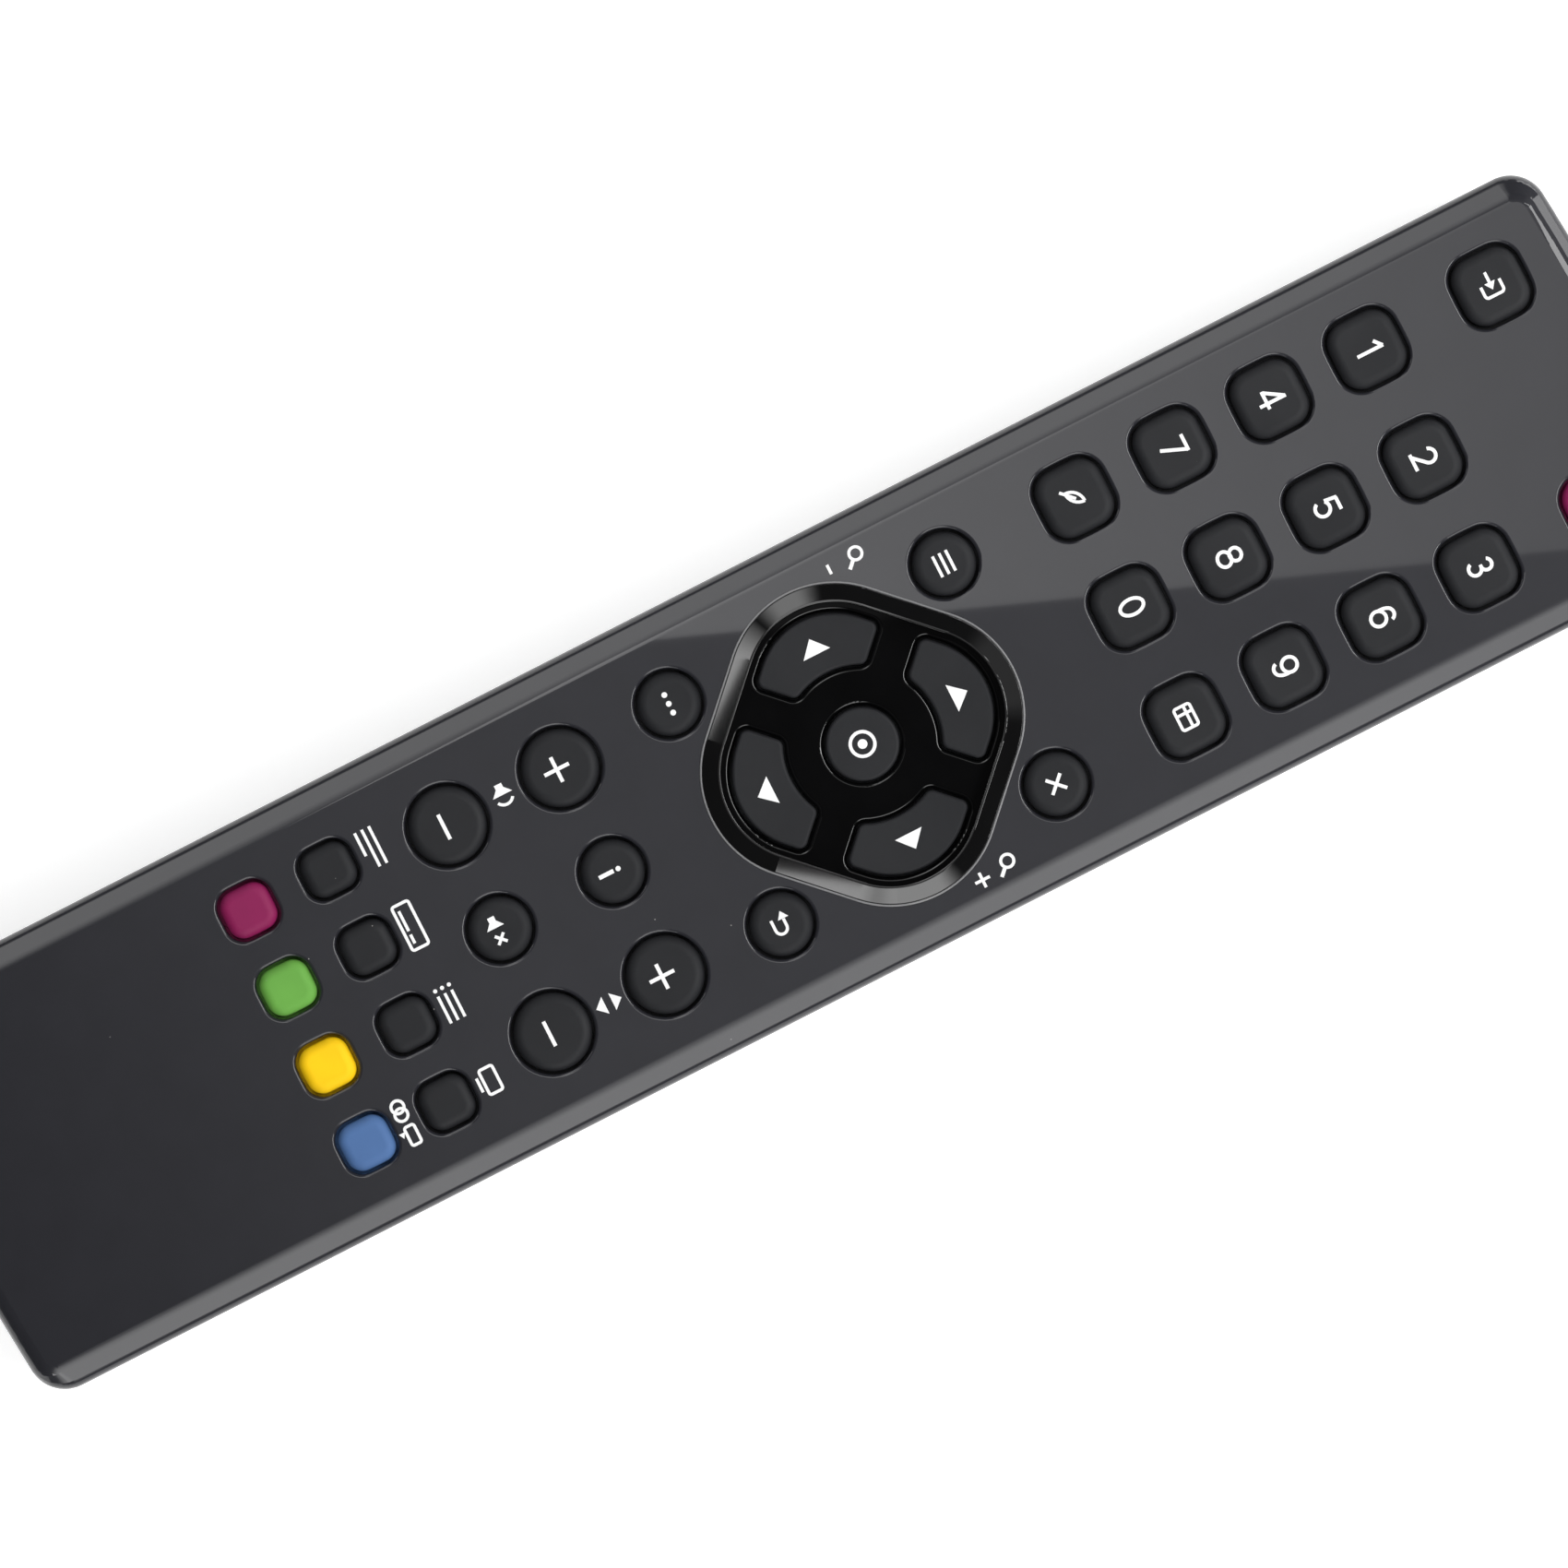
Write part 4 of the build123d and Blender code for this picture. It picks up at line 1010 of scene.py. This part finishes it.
class REMOTE_OT_cells(bpy.types.Operator):
    """Finish the cells, with a plain wrap, a coloured band and bare steel ends"""

    bl_idname = "remote.cells"
    bl_label = "Cells"

    def edge(self, tree, value, place):
        """A mask that is 1 below a place and 0 above it."""
        return ramp(tree, value, (place + CELL_MASK_EDGE) * MM, (place - CELL_MASK_EDGE) * MM)

    def mark(self, tree, aside, along, up, place, plus):
        """A mask for a plus or a minus printed on the wrap's lower side."""
        off = calc(tree, "SUBTRACT", along, place * MM)
        across = calc(tree, "ABSOLUTE", aside)
        off = calc(tree, "ABSOLUTE", off)
        bars = []
        for one, other in ((across, off), (off, across)):
            short = calc(tree, "LESS_THAN", one, CELL_MARK_HALF_STROKE * MM)
            long = calc(tree, "LESS_THAN", other, CELL_MARK_HALF_LENGTH * MM)
            bars.append(calc(tree, "MULTIPLY", short, long))
        shape = calc(tree, "MAXIMUM", *bars) if plus else bars[1]
        return calc(tree, "MULTIPLY", shape, calc(tree, "LESS_THAN", up, 0.0))

    def wrap(self, node, nub_way):
        """One cell's material. Its nub points along Y or against it."""
        low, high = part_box(node)
        nub_end = high.y if nub_way > 0 else low.y
        material = surface(f"{node}_wrap", WRAP_GREY[:3], 0.28, grain_depth=0.002, marks=0.12)
        tree = material.node_tree
        place = split(tree, object_place(tree))
        aside = calc(tree, "SUBTRACT", place["X"], (low.x + high.x) / 2)
        up = calc(tree, "SUBTRACT", place["Z"], (low.z + high.z) / 2)
        along = calc(tree, "MULTIPLY", calc(tree, "SUBTRACT", place["Y"], nub_end), -nub_way)
        reach = add_node(tree, "CombineXYZ", {"X": aside, "Z": up}).outputs[0]
        reach = add_node(tree, "VectorMath", {0: reach}, operation="LENGTH").outputs["Value"]
        bare = self.edge(tree, reach, CELL_BARE_RADIUS)
        band = self.edge(tree, along, CELL_BAND_END)
        line = calc(tree, "COMPARE", along, CELL_LINE_PLACE * MM, CELL_LINE_HALF * MM)
        tint = blend(tree, band, WRAP_GREY, WRAP_BAND)
        tint = blend(tree, line, tint, WRAP_LINE)
        for centre, plus in ((CELL_PLUS_PLACE, True), (CELL_MINUS_PLACE, False)):
            tint = blend(tree, self.mark(tree, aside, along, up, centre, plus), tint, WRAP_MARK)
        tint = blend(tree, bare, tint, CELL_STEEL)
        for group in nodes_of(tree, "Group"):
            if "Colour" in group.inputs:
                tree.links.new(tint, group.inputs["Colour"])
        for shader in nodes_of(tree, "BsdfPrincipled"):
            tree.links.new(calc(tree, "MAXIMUM", bare, band), shader.inputs["Metallic"])
        return material

    def execute(self, context):
        dress(self.wrap("battery_left", 1), "battery_left")
        dress(self.wrap("battery_right", -1), "battery_right")
        return {"FINISHED"}


class REMOTE_OT_metal(bpy.types.Operator):
    """Finish the contacts and the screws"""

    bl_idname = "remote.metal"
    bl_label = "Contacts and screws"

    def execute(self, context):
        nickel = surface(
            "nickel",
            (0.6, 0.58, 0.52),
            0.28,
            mottle=0.08,
            marks=0.15,
            scratches=0.0008,
            **{"Metallic": 1.0},
        )
        zinc = surface("zinc", (0.3, 0.3, 0.32), 0.4, mottle=0.12, marks=0.15, **{"Metallic": 1.0})
        dress(nickel, "positive_contact", "negative_contact", "bridge_contact")
        dress(zinc, "case_screws")
        return {"FINISHED"}


class REMOTE_OT_cover_arrow(bpy.types.Operator):
    """Lay the arrow on the battery cover that shows which way it slides"""

    bl_idname = "remote.cover_arrow"
    bl_label = "Cover arrow"

    def execute(self, context):
        low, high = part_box("battery_cover")
        polished = surface("cover_arrow", context.scene.remote_casing.back, 0.2, marks=0.1)
        piece = edit_new("cover_arrow")
        wedge(0, 0, COVER_ARROW_WIDTH, COVER_ARROW_LENGTH, -90)
        finish_sign(COVER_ARROW_HEIGHT * MM, 0.0)
        place = Vector(((low.x + high.x) / 2, high.y, low.z))
        place -= Vector((0, COVER_ARROW_INSET, COVER_ARROW_HEIGHT)) * MM
        settle(piece, place, 0.0, "cover", polished)
        return {"FINISHED"}


def softbox(name, place, aim, across, up, radiance):
    """A rectangular lamp that shines at a point with an even radiance."""
    lamp = bpy.data.lights.new(name, "AREA")
    lamp.shape = "RECTANGLE"
    lamp.size, lamp.size_y = across, up
    lamp.energy = radiance * pi * across * up
    piece = bpy.data.objects.new(name, lamp)
    bpy.context.scene.collection.objects.link(piece)
    piece.location = place
    piece.rotation_mode = "QUATERNION"
    piece.rotation_quaternion = (Vector(aim) - Vector(place)).to_track_quat("-Z", "Y")
    piece.visible_camera = False
    return piece


def grade(card, axis, first, last):
    """Makes a softbox change evenly along an axis, from one share of its light to another."""
    tree = new_tree(card.data)
    place = split(tree, add_node(tree, "NewGeometry").outputs["Parametric"])
    level = ramp(tree, place[axis], 0.0, 1.0, first, last)
    light = add_node(tree, "Emission", {"Color": WHITE, "Strength": level})
    finish_tree(tree, "Light", light.outputs[0])


def fade(tree, value, start, end, first=0.0, last=1.0):
    """A smooth change from one value to another between two places."""
    return ramp(tree, value, start, end, first, last, interpolation_type="SMOOTHSTEP")


def glow(tree, way, azimuth, half_width, radiance):
    """Soft light from one side of the room, strongest at about 30 degrees over the floor."""
    turned = add_node(
        tree, "VectorRotate", {"Vector": way, "Angle": -radians(azimuth)}, rotation_type="Z_AXIS"
    )
    parts = split(tree, turned.outputs[0])
    aside = calc(tree, "ABSOLUTE", calc(tree, "ARCTAN2", parts["Y"], parts["X"]))
    start, end = radians(half_width - GLOW_EDGE), radians(half_width + GLOW_EDGE)
    level = fade(tree, aside, start, end, radiance, 0.0)
    for value, reach in ((parts["X"], GLOW_OUT), (parts["Z"], GLOW_UP)):
        level = calc(tree, "MULTIPLY", level, fade(tree, value, *reach))
    return level


def ceiling(tree, way, radiance):
    """Dim soft light straight above, which fades out towards the casing's lower end."""
    parts = split(tree, way)
    level = fade(tree, parts["Y"], *CEILING_ALONG, 0.0, radiance)
    return calc(tree, "MULTIPLY", level, fade(tree, parts["Z"], *CEILING_UP))


def wedge_card(name, eye, azimuth, inner, outer, radiance):
    """A card that the ring's straight side mirrors up to a slanted line.

    The line runs from the inner to the outer place. Each place is a distance from the ring's
    middle and a way along the side, in millimetres.
    """
    outward = Vector((cos(radians(azimuth)), sin(radians(azimuth)), 0))
    along = Vector((-outward.y, outward.x, 0))
    slope = atan2(RING_RISE, RING_RUN)
    normal = outward * sin(slope) + Vector((0, 0, cos(slope)))
    hits = []
    for distance, way in (inner, outer):
        height = RING_FOOT + (RING_HALF_SIDE - distance) * RING_RISE / RING_RUN
        spot = Vector((RING_MIDDLE.x, RING_MIDDLE.y, FACE_HEIGHT + height * MM))
        spot += (outward * distance + along * way) * MM
        facing = (spot - eye).normalized().reflect(normal)
        hits.append(spot + facing * WEDGE_REACH)
    edge = (hits[1] - hits[0]).normalized()
    up = edge.cross(facing).normalized()
    if up.z < 0:
        up = -up
    centre = hits[1] + edge * (WEDGE_PAST - WEDGE_LONG / 2) - up * (WEDGE_WIDE / 2)
    card = softbox(name, centre, centre - facing, WEDGE_LONG, WEDGE_WIDE, radiance)
    right = up.cross(facing)
    card.rotation_quaternion = Matrix((right, up, facing)).transposed().to_quaternion()
    # The card grows dim towards the ring's corner, where the wall's soft light takes over
    shares = (0.0, 1.0) if right.dot(edge) > 0 else (1.0, 0.0)
    grade(card, "X", *shares)


class REMOTE_OT_stage(bpy.types.Operator):
    """Build the floor, the lamps, the world and the camera"""

    bl_idname = "remote.stage"
    bl_label = "Studio"

    def execute(self, context):
        settings = context.scene.remote_studio
        scene = context.scene
        bpy.ops.object.select_all(action="DESELECT")
        bpy.ops.mesh.primitive_plane_add(size=FLOOR_SIZE, location=(0, 0, -FLOOR_DROP * MM))
        floor = context.object
        floor.name = "floor"
        material = bpy.data.materials.new("floor_paper")
        tree = new_tree(material)
        paper = add_node(tree, "BsdfDiffuse", {"Color": (*settings.floor, 1.0)})
        ray = add_node(tree, "LightPath").outputs
        seen = ray["Is Camera Ray"]
        for kind in ("Is Glossy Ray", "Is Transmission Ray"):
            seen = calc(tree, "MAXIMUM", seen, ray[kind])
        fill = add_node(tree, "Emission", {"Color": WHITE, "Strength": settings.floor_fill})
        bright = add_node(tree, "AddShader", {0: paper.outputs[0], 1: fill.outputs[0]})
        shader = add_node(tree, "MixShader", {0: seen, 1: paper.outputs[0], 2: bright.outputs[0]})
        behind = add_node(tree, "NewGeometry").outputs["Backfacing"]
        clear = add_node(tree, "BsdfTransparent")
        both = add_node(tree, "MixShader", {0: behind, 1: shader.outputs[0], 2: clear.outputs[0]})
        finish_tree(tree, "Material", both.outputs[0])
        floor.data.materials.append(material)

        world = bpy.data.worlds.new("studio")
        scene.world = world
        tree = new_tree(world)
        way = add_node(tree, "TexCoord").outputs["Generated"]
        level = settings.room
        for side in (
            glow(tree, way, 181, 13, settings.left_glow),
            glow(tree, way, -9, 20, settings.right_glow),
            glow(tree, way, 90, 24, settings.end_glow),
            ceiling(tree, way, settings.ceiling),
        ):
            level = calc(tree, "ADD", level, side)
        light = add_node(tree, "Background", {"Color": WHITE, "Strength": level})
        finish_tree(tree, "World", light.outputs[0])

        softbox("lamp_key", aim=(0, 0, FACE_HEIGHT), radiance=settings.key_light, **KEY_LAMP)
        level_aim = (0, 0, END_LAMP["place"][2])
        softbox("lamp_window_end", aim=level_aim, radiance=settings.end_light, **END_LAMP)

        distance = settings.view_width * settings.lens / SENSOR
        camera = bpy.data.cameras.new("camera")
        camera.lens = settings.lens
        camera.sensor_width = SENSOR
        camera.clip_start = 0.05
        camera.clip_end = 20
        eye = bpy.data.objects.new("camera", camera)
        scene.collection.objects.link(eye)
        eye.location = (0, -settings.view_shift, FACE_HEIGHT + distance)
        eye.rotation_euler = (0, 0, settings.view_turn)
        scene.camera = eye

        # A card beside the camera's line of sight, whose straight edge the gloss coat mirrors
        grow = 1 + CARD_HEIGHT / distance
        near, far = (
            Vector((RING_MIDDLE.x + x * MM, RING_MIDDLE.y + y * MM)) * grow
            for x, y in CARD_EDGE
        )
        run = (far - near).normalized()
        centre = (near + far) / 2 + Vector((-run.y, run.x)) * (CARD_WIDTH / 2)
        place = (*centre, FACE_HEIGHT + CARD_HEIGHT)
        card = softbox("lamp_card", place, (*centre, 0), CARD_WIDTH, CARD_LONG, 1.0)
        grade(card, "Y", settings.card_near, settings.card_far)
        card.rotation_mode = "XYZ"
        card.rotation_euler = (0, 0, atan2(run.y, run.x) - pi / 2)
        for name, azimuth, inner, outer in (
            ("lamp_right_wedge", -45, (15.6, 5.0), (17.4, -6.0)),
            ("lamp_left_wedge", 225, (16.2, -5.0), (17.4, 3.0)),
        ):
            wedge_card(name, eye.location, azimuth, inner, outer, settings.wedge_light)

        scene.view_settings.view_transform = "Standard"
        return {"FINISHED"}


class REMOTE_PT_sidebar(bpy.types.Panel):
    """Lists what dresses the remote control"""

    bl_idname = "REMOTE_PT_sidebar"
    bl_label = "Remote control"
    bl_space_type = "VIEW_3D"
    bl_region_type = "UI"
    bl_category = "Remote"

    def draw(self, context):
        for group in SETTINGS:
            settings = getattr(context.scene, group)
            for name in settings.__annotations__:
                self.layout.prop(settings, name)
        for operator in OPERATORS:
            self.layout.operator(operator.bl_idname)


SETTINGS = {
    "remote_casing": CasingFinish,
    "remote_keys": KeyFinish,
    "remote_print": PrintSizes,
    "remote_studio": StudioSettings,
}
OPERATORS = (
    REMOTE_OT_casing,
    REMOTE_OT_ring,
    REMOTE_OT_keys,
    REMOTE_OT_digits,
    REMOTE_OT_arrows,
    REMOTE_OT_key_signs,
    REMOTE_OT_face_signs,
    REMOTE_OT_infrared,
    REMOTE_OT_board,
    REMOTE_OT_tracks,
    REMOTE_OT_cells,
    REMOTE_OT_metal,
    REMOTE_OT_cover_arrow,
    REMOTE_OT_stage,
)


def register():
    """Registers the settings, the operators and the panel."""
    for kind in (*SETTINGS.values(), *OPERATORS, REMOTE_PT_sidebar):
        bpy.utils.register_class(kind)
    for name, kind in SETTINGS.items():
        setattr(bpy.types.Scene, name, PointerProperty(type=kind))


def unregister():
    """Takes the settings, the operators and the panel away again."""
    for name in SETTINGS:
        delattr(bpy.types.Scene, name)
    for kind in (REMOTE_PT_sidebar, *OPERATORS, *SETTINGS.values()):
        bpy.utils.unregister_class(kind)


def main():
    """Dresses the remote control."""
    register()
    for operator in OPERATORS:
        group, name = operator.bl_idname.split(".")
        getattr(getattr(bpy.ops, group), name)()


if __name__ == "__main__":
    main()
